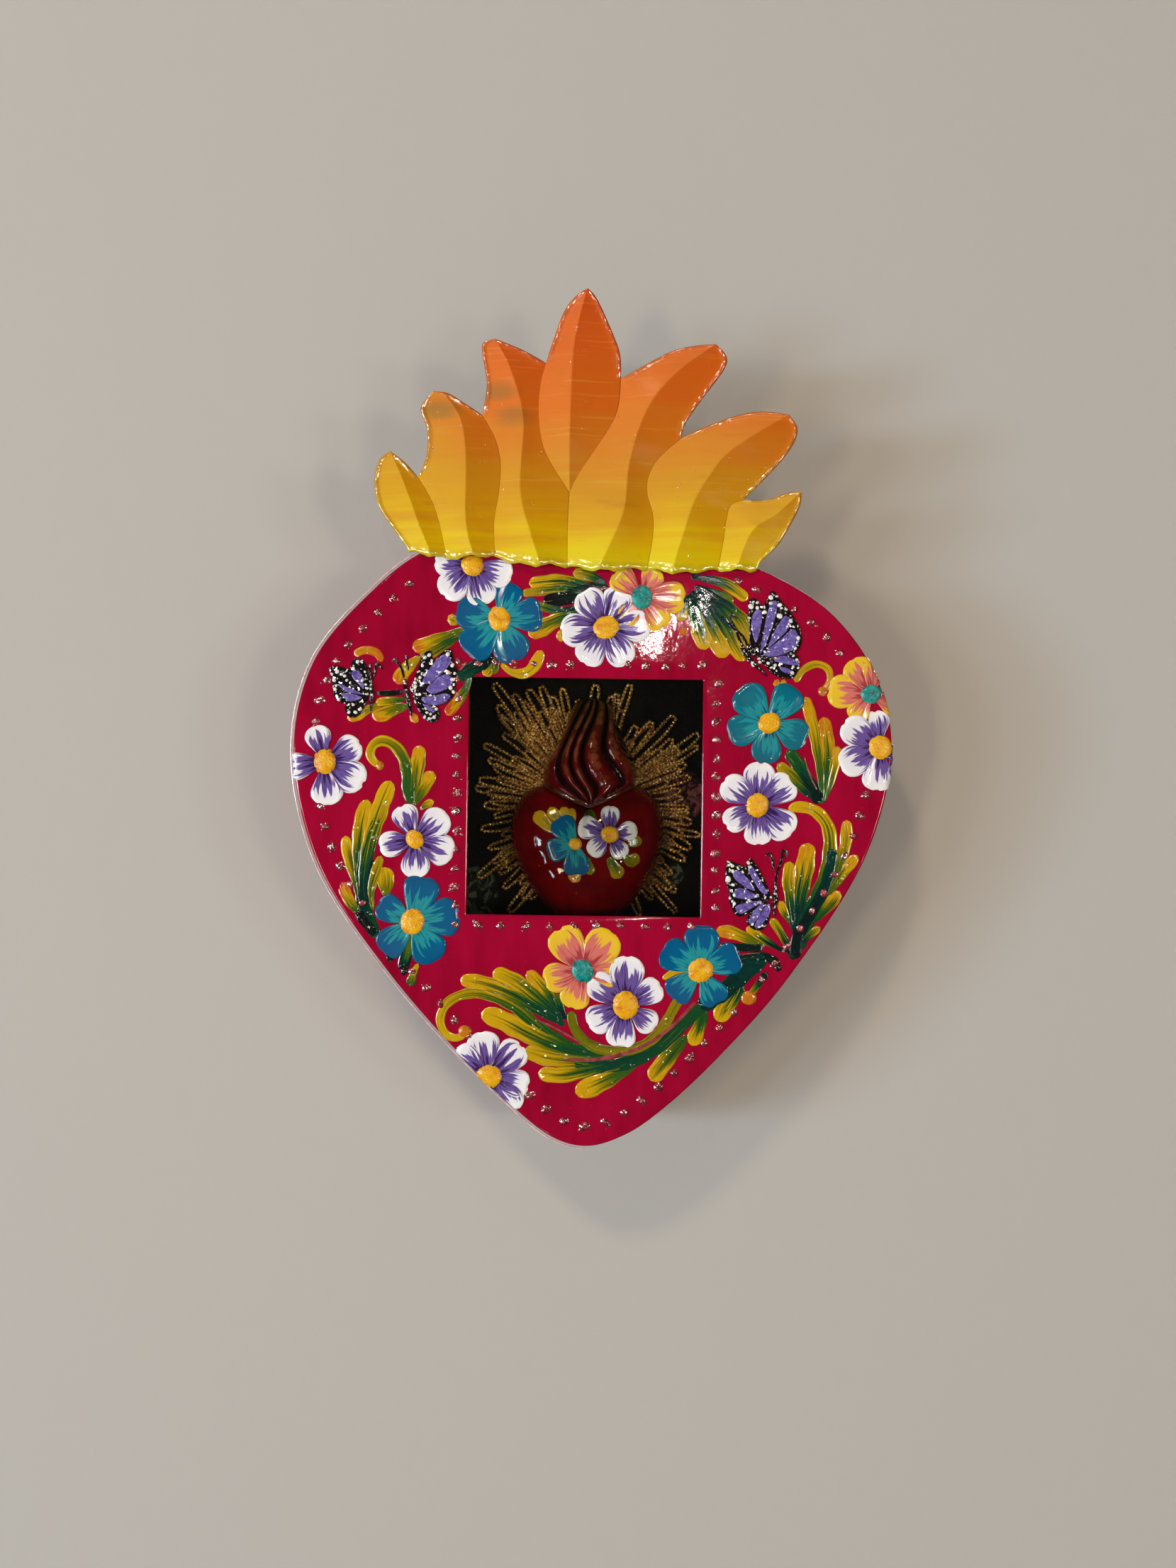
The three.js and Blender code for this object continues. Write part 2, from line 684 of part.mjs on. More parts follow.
// Clay flame: a fluted bulb that is widest low down and ends in a point above and below.
function clayFlameBody() {
  const front = [];
  for (let row = 0; row <= clayFlameRows; row += 1) {
    const share = row / clayFlameRows;
    const up = THREE.MathUtils.lerp(clayFlameFoot, clayFlameTip, share);
    const swell = Math.sin(Math.PI * share ** clayFlameLowness) ** clayFlamePlumpness;
    const width = Math.max(clayFlameLeastSwell, swell) * (clayFlameWidth / 2);
    for (let column = 0; column <= clayFlameColumns; column += 1) {
      const angle = (Math.PI * column) / clayFlameColumns;
      const flute = Math.cos(2 * clayFlameFlutes * (angle - Math.PI / 2) + clayFluteLean * share);
      const deep = Math.sin(angle) * (1 + clayFluteDepth * flute) * swell * (clayFlameBulge - clayRim);
      const x = clayX - width * Math.cos(angle);
      front.push(new THREE.Vector3(x, laceFront - clayRim - deep, up));
    }
  }
  const triangles = [];
  const stride = clayFlameColumns + 1;
  for (let row = 0; row < clayFlameRows; row += 1) {
    for (let column = 0; column < clayFlameColumns; column += 1) {
      const a = row * stride + column;
      triangles.push([a, a + 1, a + stride], [a + 1, a + stride + 1, a + stride]);
    }
  }
  return solidBetween(front, pressedFlat(front), triangles);
}

// Flame crest

// Each tongue's two edges as chains of stretches, and its ridge.
function crestTongues() {
  const [left, foot12, foot23, forkFoot, foot56, foot67, right] = crestBase;
  const [notch12, notch23, notch34, notch45, notch56, notch67] = crestNotches;
  const valley12 = [foot12, ...crestValleys[0], notch12];
  const valley23 = [foot23, ...crestValleys[1], notch23];
  const valley35 = [forkFoot, ...crestForkFoot, crestFork];
  const valley34 = [crestFork, ...crestValleys[2], notch34];
  const valley45 = [crestFork, ...crestValleys[3], notch45];
  const valley56 = [foot56, ...crestValleys[4], notch56];
  const valley67 = [foot67, ...crestValleys[5], notch67];
  const onLeft = [[], [valley12], [valley23], [valley34], [valley35, valley45], [valley56], [valley67]];
  const onRight = [[valley12], [valley23], [valley35, valley34], [valley45], [valley56], [valley67], []];
  const leftFrom = [left, notch12, notch23, notch34, notch45, notch56, notch67];
  const rightFrom = [notch12, notch23, notch34, notch45, notch56, notch67, right];
  return crestTips.map((tip, i) => ({
    left: [...onLeft[i], [leftFrom[i], ...crestLeftEdges[i], tip]],
    right: [...onRight[i], [rightFrom[i], ...crestRightEdges[i], tip]],
    ridge: [...crestRidges[i], tip],
  }));
}

// Points along a chain of stretches, each smooth in itself and about crestStep long.
function crestLine(stretches) {
  const line = [];
  for (const stretch of stretches) {
    const curve = new THREE.SplineCurve(stretch.map(([x, up]) => new THREE.Vector2(x, up)));
    const steps = Math.max(1, Math.round(curve.getLength() / crestStep));
    const points = curve.getSpacedPoints(steps);
    line.push(...(line.length ? points.slice(1) : points));
  }
  return line;
}

function lengthsAlong(line) {
  const lengths = [0];
  for (let i = 1; i < line.length; i += 1) lengths.push(lengths[i - 1] + line[i].distanceTo(line[i - 1]));
  return lengths;
}

function flameCrest() {
  const front = [];
  const seen = new Map();
  const vertex = (point, height) => {
    const key = `${point.x.toFixed(3)} ${point.y.toFixed(3)}`;
    if (!seen.has(key)) {
      seen.set(key, front.length);
      front.push(new THREE.Vector3(point.x, crestRear - tin - height, point.y));
    }
    return seen.get(key);
  };
  const triangles = [];
  for (const tongue of crestTongues()) {
    const edges = [crestLine(tongue.left), crestLine(tongue.right)];
    const edgeIds = edges.map((edge) => edge.map((point) => vertex(point, 0)));
    const ridge = crestLine([tongue.ridge]);
    const ridgeIds = ridge.map((point) => {
      const nearest = Math.min(...edges.flat().map((place) => place.distanceTo(point)));
      return vertex(point, crestRidge * Math.min(1, nearest / crestFullAt));
    });
    edges.forEach((edge, side) => {
      zip(lengthsAlong(edge), edgeIds[side], lengthsAlong(ridge), ridgeIds, triangles);
    });
  }
  const rear = front.map((point) => new THREE.Vector3(point.x, point.y + tin, point.z));
  return solidBetween(front, rear, triangles);
}

// Fills the strip between two lines of vertices, walking up both together.
function zip(lengthsA, idsA, lengthsB, idsB, triangles) {
  let [i, j] = [0, 0];
  const share = (lengths, at) => (at < lengths.length ? lengths[at] / lengths.at(-1) : Infinity);
  while (i < idsA.length - 1 || j < idsB.length - 1) {
    const forwardA = share(lengthsA, i + 1) <= share(lengthsB, j + 1);
    const corners = forwardA ? [idsA[i], idsA[i + 1], idsB[j]] : [idsA[i], idsB[j + 1], idsB[j]];
    if (new Set(corners).size === 3) triangles.push(corners);
    if (forwardA) i += 1;
    else j += 1;
  }
}

// Assembly

const niche = new THREE.Group();
const atWindow = new THREE.Group();
atWindow.position.set(windowX, 0, windowUp);
niche.add(atWindow);

function piece(parent, name, geometry, material) {
  const mesh = new THREE.Mesh(geometry, material);
  mesh.name = name;
  parent.add(mesh);
}

const halfSeam = seamGap / 2 / heartLength;
piece(niche, 'front_plate', frontPlate(), materials.magenta);
piece(niche, 'side_band_right', sideBand(halfSeam, heartTip - halfSeam), materials.magenta);
piece(niche, 'side_band_left', sideBand(heartTip + halfSeam, 1 - halfSeam), materials.magenta);
piece(niche, 'top_seam_tab', seamTab(0), materials.bareTin);
piece(niche, 'tip_seam_tab', seamTab(heartTip), materials.bareTin);
piece(niche, 'flame_crest', flameCrest(), materials.flame);
piece(niche, 'back_cover', backCover(), materials.bareTin);
piece(niche, 'hanger_strap', hangerStrap(), materials.bareTin);
piece(niche, 'hanging_ring', hangingRing(), materials.wire);

const glass = sheet(rectangle(glassWidth, glassHeight), glassRear, glassThickness);
piece(atWindow, 'niche_box', nicheBox(), materials.bareTin);
piece(atWindow, 'glass_pane', glass, materials.glass);
piece(atWindow, 'glass_clip_right', glassClip(glassWidth, 0), materials.bareTin);
piece(atWindow, 'glass_clip_top', glassClip(glassHeight, -Math.PI / 2), materials.bareTin);
piece(atWindow, 'glass_clip_left', glassClip(glassWidth, Math.PI), materials.bareTin);
piece(atWindow, 'glass_clip_bottom', glassClip(glassHeight, Math.PI / 2), materials.bareTin);

const pin = rod(pinRadius, fixedFootFoot - pinOverhang, fixedTopHead + pinOverhang, hingeX, hingeY);
const topKnuckle = knuckle(fixedTopFoot, fixedTopHead, coverRear, -1);
const footKnuckle = knuckle(fixedFootFoot, fixedFootHead, coverRear, -1);
piece(atWindow, 'hinge_knuckle_top', topKnuckle, materials.bareTin);
piece(atWindow, 'hinge_knuckle_bottom', footKnuckle, materials.bareTin);
piece(atWindow, 'hinge_pin', pin, materials.wire);
piece(atWindow, 'latch_rivet', latchRivet(), materials.wire);
piece(atWindow, 'turn_button', turnButton(), materials.bareTin);

piece(atWindow, 'back_door', backDoor(), materials.bareTin);
const doorKnuckle = knuckle(doorKnuckleFoot, doorKnuckleTop, doorRear, 1);
piece(atWindow, 'door_knuckle', doorKnuckle, materials.bareTin);
piece(atWindow, 'door_pull', doorPull(), materials.bareTin);
piece(atWindow, 'backing_card', cardSheet(0, coverRear, cardThickness), materials.card);
piece(atWindow, 'lining_fabric', cardSheet(fabricMargin, cardFront, fabricThickness), materials.fabric);
piece(atWindow, 'gold_lace', goldLace(), materials.lace);
piece(niche, 'clay_heart', fuse(clayHeartBody(), clayFlameBody()), materials.clay);

niche.position.set(0, 0, -hangHeight);

const part = new THREE.Group();
part.add(niche);
export default part;
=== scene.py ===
from functools import cached_property
import math

import bmesh
import bpy
import numpy as np
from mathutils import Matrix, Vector
from mathutils.geometry import delaunay_2d_cdt


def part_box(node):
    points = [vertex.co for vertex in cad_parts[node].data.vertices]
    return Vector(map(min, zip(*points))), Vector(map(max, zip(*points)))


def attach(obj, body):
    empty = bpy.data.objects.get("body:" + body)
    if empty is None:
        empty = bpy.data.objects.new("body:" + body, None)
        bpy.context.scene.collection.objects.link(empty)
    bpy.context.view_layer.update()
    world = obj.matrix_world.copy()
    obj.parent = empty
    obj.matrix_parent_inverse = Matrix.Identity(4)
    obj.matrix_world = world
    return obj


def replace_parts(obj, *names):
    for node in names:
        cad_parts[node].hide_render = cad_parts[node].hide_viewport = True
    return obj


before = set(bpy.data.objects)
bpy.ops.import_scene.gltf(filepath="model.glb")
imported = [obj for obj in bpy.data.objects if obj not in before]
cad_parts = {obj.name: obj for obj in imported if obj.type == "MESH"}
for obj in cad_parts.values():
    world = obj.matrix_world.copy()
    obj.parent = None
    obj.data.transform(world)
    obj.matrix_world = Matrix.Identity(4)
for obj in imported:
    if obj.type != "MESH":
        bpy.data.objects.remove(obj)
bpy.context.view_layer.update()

# A hand-painted tin devotional niche. Drawing is done in millimetres in the row frame: x to the right,
# y away from the viewer with the wall at 0, z up. Pieces are turned into metres when their mesh is made.

MM = 0.001
FRONT = -32.0
SUNK = -0.06
WINDOW = (-2.0, -54.0)
WINDOW_HALF = (33.0, 33.5)
WINDOW_TILT = math.radians(-0.8)
HEART = [(0, 14), (15, 15.1), (31, 15.5), (46, 10.9), (66.4, -1.1), (79.8, -18.9), (84.6, -39.1), (78, -69.1),
         (55.4, -105.1), (38, -125.1), (21.2, -141.1), (9.8, -149.1), (-1.2, -152.5), (-11, -150.1),
         (-29, -134.9), (-57.8, -102.9), (-78.2, -70.9), (-84.2, -38.9), (-78.2, -14.9), (-61.2, 5.1),
         (-49.8, 14.1), (-33, 20.9), (-15, 18.5)]

# The drawing, in millimetres. Lines and outlines are written as x, z, x, z and so on.
# Brush strokes: shape, width, tone at the foot, tone at the tip, line.
LEAVES = [
    ("curl", 3.32, 0.32, 0.85, -51.1, -56, -51.8, -51.7, -51.9, -47.4, -53.1, -43.1, -55.4, -39.7, -58.7, -38.1,
     -61.4, -39.1, -62.5, -41.7, -61.4, -44, -59.6, -45.2),
    ("leaf", 3.65, 0.4, 0.9, -51.1, -56, -49.8, -50.3, -49.1, -44.7, -48.4, -39.4),
    ("leaf", 3.32, 0.4, 0.9, -50.1, -56.3, -48.1, -52.7, -46.5, -49.7, -44.8, -46.7),
    ("leaf", 1.99, 0.5, 0.88, -48.4, -57.6, -46.5, -56, -44.5, -55.2),
    ("leaf", 4.31, 0.15, 0.86, -64.7, -85.1, -64.4, -76.2, -62.7, -66.3, -59.7, -57, -56.7, -49.4),
    ("leaf", 3.81, 0.25, 0.88, -65.4, -81.2, -66, -71.2, -65, -61.3, -63.2, -54.7),
    ("leaf", 2.99, 0.3, 0.86, -65, -85.1, -67, -76.2, -68.7, -70.2, -69.5, -64.9),
    ("even", 3.32, 0.12, 0.32, -63.9, -85.1, -64.7, -76.2, -63.4, -67.9, -60.1, -59.6),
    ("leaf", 2.32, 0.4, 0.72, -62.7, -85.1, -62, -77.9, -59.4, -70.6),
    ("leaf", 4.64, 0.5, 0.86, -58.1, -82.2, -58.2, -77.9, -58.6, -73.7),
    ("leaf", 2.32, 0.6, 1, -66.7, -86.8, -69, -81.2, -70.5, -77.9),
    ("even", 3.7, 0.1, 0.2, -63.1, -70.6, -64.7, -81.4, -63.1, -88.4, -60.5, -93.5),
    ("leaf", 2.55, 0.5, 0.7, -61.8, -85.9, -62.3, -80.1, -59.9, -72.5),
    ("leaf", 2.93, 0.3, 0.98, -64, -88.4, -67.8, -84, -70.7, -78.9),
    ("even", 2.42, 0.02, 0.05, -66.2, -85.9, -63.7, -89.7, -60.8, -92.9),
    ("even", 3.19, 0.45, 0.04, -50.9, -92.3, -52.2, -97.4, -53.5, -103.1),
    ("leaf", 2.3, 0.75, 0.3, -49, -100.9, -50.3, -103.7, -51.4, -107.3),
    ("even", 1.66, 0.05, 0.05, -57.3, -98, -56.7, -100.6),
    ("curl", 3.19, 0.28, 0.84, 3.3, -127, -5.7, -124.8, -13.9, -119.7, -21.6, -113.3, -29.3, -109.8, -35.6, -109.5,
     -40.7, -112, -42.8, -116.5, -41.4, -120.6, -38.2, -121.9, -35.6, -120.6),
    ("leaf", 3.95, 0.2, 0.88, -7.6, -118.4, -15.2, -113.9, -22.9, -109.5, -30.5, -106.6, -37.2, -105.5),
    ("leaf", 3.95, 0.2, 0.86, -7.9, -116.8, -14.6, -111.4, -21.6, -106, -28, -103.2),
    ("leaf", 3.19, 0.2, 0.9, -7.6, -116.5, -11.4, -110.8, -15.2, -106.3, -18.3, -103.1),
    ("leaf", 2.17, 0.1, 0.4, -7.3, -116.8, -8.8, -113.3, -10.1, -109.5),
    ("leaf", 4.97, 0.25, 0.87, 3.3, -127, -6.9, -125.1, -16.5, -121.3, -24.8, -117.1, -31.2, -114.7),
    ("leaf", 4.21, 0.3, 0.8, 4.5, -128.3, -4.4, -128.3, -12.7, -127.3, -19.1, -125.4),
    ("leaf", 3.83, 0.3, 0.86, 6.5, -128.9, -1.2, -131.2, -8.8, -132.4, -15.2, -131.8),
    ("leaf", 4.85, 0.35, 0.88, 12.8, -128.9, 6.5, -132.4, 1.4, -135, -4.7, -137.4),
    ("even", 2.69, 0.6, 0.5, 25.5, -109.8, 23.3, -113.2, 19.4, -119.9, 14.9, -123.8, 8.7, -125.6, 2.5, -125.1, -2.2,
     -122.7, -5, -118.8, -5.9, -114.3),
    ("even", 3.37, 0.2, 0.25, -5.3, -128.6, 3.6, -130, 11.5, -128.3, 19.4, -123.8, 26.1, -117.6, 31.7, -112.6),
    ("leaf", 4.38, 0.35, 0.88, 27.2, -121, 23.3, -125.5, 19.9, -129.4, 16.6, -134),
    ("leaf", 3.7, 0.3, 0.86, 32.3, -114.3, 30.3, -118.8, 28.1, -124.1),
    ("leaf", 3.7, 0.2, 0.86, 42.9, -107.5, 39.6, -111.5, 35.4, -117.2),
    ("even", 4.49, 0.12, 0.15, 30, -113.2, 36.8, -109.2, 42.9, -103.6, 49, -98.8),
    ("even", 1.46, 0.85, 0.88, 19.9, -105.3, 23.3, -103.3, 27.8, -102.5),
    ("even", 1.91, 0.88, 0.9, 27.2, -96.6, 28.3, -99.1),
    ("curl", 4.4, 0.2, 0.87, 58.2, -97.4, 59.8, -90.5, 63.2, -83.6, 66.1, -76.3, 67.2, -68.7, 66.7, -62.9, 64.4,
     -59.1, 61.3, -57.2, 57.5, -56.8, 55.5, -58),
    ("even", 3.06, 0.06, 0.16, 57.5, -99.7, 57.9, -93.5, 61.3, -87.4, 65.1, -80.5, 67, -74.4, 67.9, -68.3),
    ("leaf", 3.06, 0.15, 0.9, 56.7, -91.6, 56, -83.6, 55.4, -77.5, 55.8, -72.1),
    ("leaf", 4.59, 0.12, 0.9, 57.9, -91.6, 58.6, -82.8, 59.8, -75.2, 61.1, -66.9),
    ("leaf", 3.06, 0.4, 0.9, 67.4, -79, 69.7, -73.6, 71.6, -66.8, 71.9, -60.4),
    ("leaf", 2.75, 0.4, 0.9, 66.3, -82.1, 69, -78.2, 71.6, -74.4, 74.9, -70.4),
    ("leaf", 3.06, 0.3, 0.88, 62.5, -89.3, 65.5, -85.9, 68.2, -82.8, 69.9, -80.5),
    ("leaf", 1.99, 0.1, 0.75, 59, -95.8, 61.3, -93.1, 64.4, -90.7),
    ("leaf", 2.14, 0.08, 0.72, 57.5, -99.7, 54.4, -94.3, 52.1, -90.5, 50.4, -88.2),
    ("leaf", 2.22, 0.4, 0.9, 56, -89.7, 54.4, -86.6, 52.9, -83.2),
    ("leaf", 2.14, 0.06, 0.88, 54.4, -97.7, 49.4, -94.7, 45.6, -92, 43.5, -90.7),
    ("leaf", 3.21, 0.45, 0.92, 48.7, -96.2, 42.9, -93.5, 38.4, -92, 34.9, -92),
    ("even", 1.99, 0.06, 0.1, 48.3, -96.4, 42.6, -96.4, 36.1, -95.8),
    ("even", 2.37, 0.12, 0.05, 36.8, -101.9, 42.6, -99.7, 47.5, -98.9, 51, -100, 52.7, -101.9),
    ("leaf", 3.83, 0.12, 0.86, 45.6, -100.4, 41.4, -105.8, 38, -111.5, 35.3, -117.2),
    ("even", 1.76, 0.03, 0.6, 49.4, -103.3, 47.2, -106.5, 44.5, -110),
    ("even", 2.14, 0.08, 0.1, 54.4, -95.8, 56.3, -97.7, 56.9, -100),
    ("even", 1.76, 0.72, 0.92, 57.3, -21.6, 59.6, -18.2, 63, -16.5, 66.1, -17.4, 67.2, -19.7, 66.5, -22.4, 65.1,
     -24.1),
    ("even", 1.53, 0.9, 0.92, 51.7, -23, 52.5, -20.7),
    ("even", 1.53, 0.85, 0.92, 53.8, -22.8, 54.3, -20.7),
    ("leaf", 2.99, 0.35, 0.9, 64.8, -55.9, 64.4, -46.5, 62.5, -35, 60.2, -25.7),
    ("leaf", 3.44, 0.3, 0.92, 64.9, -55.9, 66.5, -44.6, 66.3, -37.3, 65.2, -31.4),
    ("leaf", 2.53, 0.35, 0.9, 65.1, -55.7, 67.6, -48.8, 69.3, -39.6),
    ("even", 3.64, 0.07, 0.3, 64.6, -55.7, 60.7, -49.6, 57.7, -44.2, 55, -40.8),
    ("leaf", 3.06, 0.1, 0.7, 64.4, -55.7, 60, -51.9, 56.1, -48, 52.3, -44.6),
    ("leaf", 2.85, 0.12, 0.86, 28.1, 8.2, 36.4, 6.6, 41, 3.9, 43.9, 1.6),
    ("leaf", 2.85, 0.05, 0.5, 28.8, 5.5, 34.1, 3.4, 40, 1.1),
    ("leaf", 4.59, 0.08, 0.7, 29.5, 5.3, 37.3, -0.3, 41.9, -4.8, 44.6, -10.8),
    ("leaf", 4.59, 0.1, 0.88, 28.1, 4.3, 34.1, -1.2, 39.1, -8.1, 43, -15.6),
    ("leaf", 5.14, 0.1, 0.88, 27.9, 3.9, 32.2, -3.5, 35.4, -9.4, 37.7, -14.7),
    ("leaf", 4.59, 0.12, 0.86, 27.6, 3.4, 29.5, -3.5, 30.9, -8.1, 32.2, -12.4),
    ("leaf", 2.75, 0.15, 0.8, 27.2, 3, 25.8, -1.2, 24.9, -4.4),
    ("even", 2.11, 0.95, 0.97, 25.1, -6.4, 26.5, -8.3),
    ("even", 2.11, 0, 0.05, 27.9, 8.5, 30.4, 8),
    ("leaf", 3.21, 0.1, 0.86, 4.7, 3.9, -2.2, 5.7, -8.6, 7.1, -17.8, 6.2),
    ("leaf", 3.03, 0.15, 0.76, 4.2, 5.7, 0.5, 8, -2.2, 8.9, -5.4, 9.2),
    ("leaf", 2.3, 0.2, 0.7, 0.5, 2.5, -6.8, 4.6, -13.2, 4.3, -19.7, 3.4),
    ("even", 4.13, 0.04, 0, 5.1, 4.1, -1.3, 3.9, -7.3, 2.5, -13.7, 1.1),
    ("leaf", 2.3, 0.1, 0.6, -3.1, -0.3, -8.6, -1.2, -14.1, -0.3, -18.7, 1.1),
    ("leaf", 4.22, 0.3, 0.92, -3.1, -2.1, -8.6, -3.5, -13.2, -5.8, -17.8, -8.5),
    ("leaf", 2.75, 0.6, 0.9, -6.3, -5.3, -8.2, -8.1, -9.1, -10.1),
    ("leaf", 2.94, 0.8, 0.88, -25.6, -16.3, -22.9, -18.6, -19.2, -19.1, -16.4, -17.2, -14.1, -12.6),
    ("leaf", 3.65, 0.45, 0.95, -35.8, -6.3, -39.8, -8.3, -45.1, -10.3, -50.6, -12.1),
    ("leaf", 2.99, 0.3, 0.7, -36.2, -7.7, -40.5, -10.3, -44.4, -12.6, -48.4, -14.3),
    ("leaf", 2.99, 0.7, 0.86, -37.8, -5.3, -39.5, -4, -40.8, -4.2),
    ("even", 3.48, 0.04, 0.2, -27.9, -13.6, -31.2, -16.3, -35.2, -18.6, -37.8, -20.9),
    ("leaf", 2.79, 0.3, 1, -34.2, -19.3, -35.5, -23.2, -37.8, -26.9, -41.1, -30.9),
    ("leaf", 2.99, 0.5, 0.8, -27.9, -15, -28.9, -17.6, -30.7, -19.6),
    ("even", 1.99, 0.3, 0.5, -26.9, -14.3, -27.2, -16.9, -27.5, -19.3),
    ("leaf", 3.65, 0.7, 0.95, -48.4, -14.3, -51.4, -16.9, -53.7, -19.6, -54.9, -22.2),
    ("leaf", 3.98, 0.45, 0.92, -51.7, -28.2, -55.7, -29.2, -59.4, -30.5, -62, -31.5),
    ("leaf", 2.32, 0.35, 0.8, -52.4, -26.2, -57, -26.9, -61, -27.4),
    ("even", 2.65, 0.9, 0.92, -49.1, -31, -51.2, -32.5),
    ("even", 1.33, 0, 0.05, -53.1, -24.2, -57, -24.7, -60.7, -24.6),
    ("leaf", 2.79, 0.6, 0.92, -59.4, -27.9, -63, -29.2, -66.3, -30.9, -69, -31.9),
    ("even", 2.06, 0.9, 0.96, -67, -14, -65, -12.8, -62.7, -12.6, -60.4, -13.6, -59.2, -15.9),
]
# Thin red strokes: width, line.
PINK = [
    (2.13, -7.6, -128, 0.3, -128, 8.7, -126.3, 16, -123.3, 22.7, -118.5, 29.2, -111.8),
    (1.12, -16, -116.5, -9.8, -119.3, -3.1, -123.3),
    (0.61, 41.8, -98.3, 44.5, -98.1, 47.2, -97.9),
    (0.84, 63.4, -51.9, 61.5, -47.7, 59.9, -42.7),
    (0.73, 5.1, 5, 1.9, 4.7, -1.3, 4.1),
    (1.39, -35.3, -15.8, -36.3, -17.1, -37.3, -18.4),
]
# Drops of leaf paint: x, z, radius, tone.
KNOBS = [
    (-59.8, -45.1, 1.19, 0.92), (-62.3, -90.7, 1.08, 0.02), (-35.8, -120.1, 1.72, 0.93), (52.4, -102.1, 0.99, 0.04),
    (44.2, -110.6, 1.99, 0.93), (65.1, -24.2, 1.26, 0.93), (71.6, -73.3, 0.92, 0.88), (-53, -103.1, 1.02, 0.03),
]
# Flowers: kind, centre's x and z, its radius, then each petal's angle in degrees and its length.
FLOWERS = [
    ("white", -33.7, 11.4, 3.15, 174, 10.78, -133, 12.11, -72, 11.77, -16, 11.61),
    ("white", 4, -6.2, 3.44, 122, 12.4, 68, 11.94, 3, 12.63, -61, 12.08, -122, 12.03, -175, 12.99),
    ("white", -75.2, -44, 3.3, 106, 10.55, 28, 11.27, -30, 12.71, -87, 12.35, -171, 11.09),
    ("white", -49.9, -65.9, 2.59, 112, 10.35, 39, 11.61, -21, 11.67, -89, 10.95, -168, 10.35),
    ("white", 46.6, -56.3, 3.3, 85, 12.35, 34, 12.41, -38, 12.77, -88, 11.27, -147, 10.79, 144, 11.87),
    ("white", 81.2, -40, 3.3, 98, 10.55, 146, 12.47, -153, 12.59, -94, 12.29, -20, 11.39),
    ("white", 9.5, -112.6, 3.82, 88, 13.92, 29, 11.5, -38, 10.66, -98, 12.23, -152, 12.07, 144, 12.63),
    ("white", -29, -132.7, 3.44, 100, 12.81, 44, 12.86, -14, 11.66, 143, 12.17, -50, 12.58, -134, 11.02),
    ("blue", -26.1, -3.8, 3.3, 69, 10.79, 7, 12.47, -67, 13.07, -133, 13.49, 168, 12.47),
    ("teal", 50, -33.1, 3.06, 130, 13.01, 53, 12.44, -23, 11.87, -96, 11.52, -166, 12.17),
    ("blue", -50.6, -89.1, 3.51, 75, 13.39, 8, 13.52, -59, 13.07, -135, 12.12, 152, 11.16),
    ("blue", 30.6, -102.8, 3.48, 88, 12.79, 22, 12.23, -61, 11.22, -138, 11.5, 150, 12.46),
    ("yellow", 14.1, 2.3, 3.12, 138, 10.56, 63, 9.18, 0, 12.4, -54, 10.56, -127, 9.18),
    ("yellow", 78.7, -24.9, 2.76, 118, 11.18, 176, 12.44, -124, 9, 83, 9.19, -23, 9.19),
    ("yellow", -2.6, -102.9, 3.2, 120, 13.75, 52, 13.75, -166, 11.5, -106, 11.22, -6, 10.66),
]
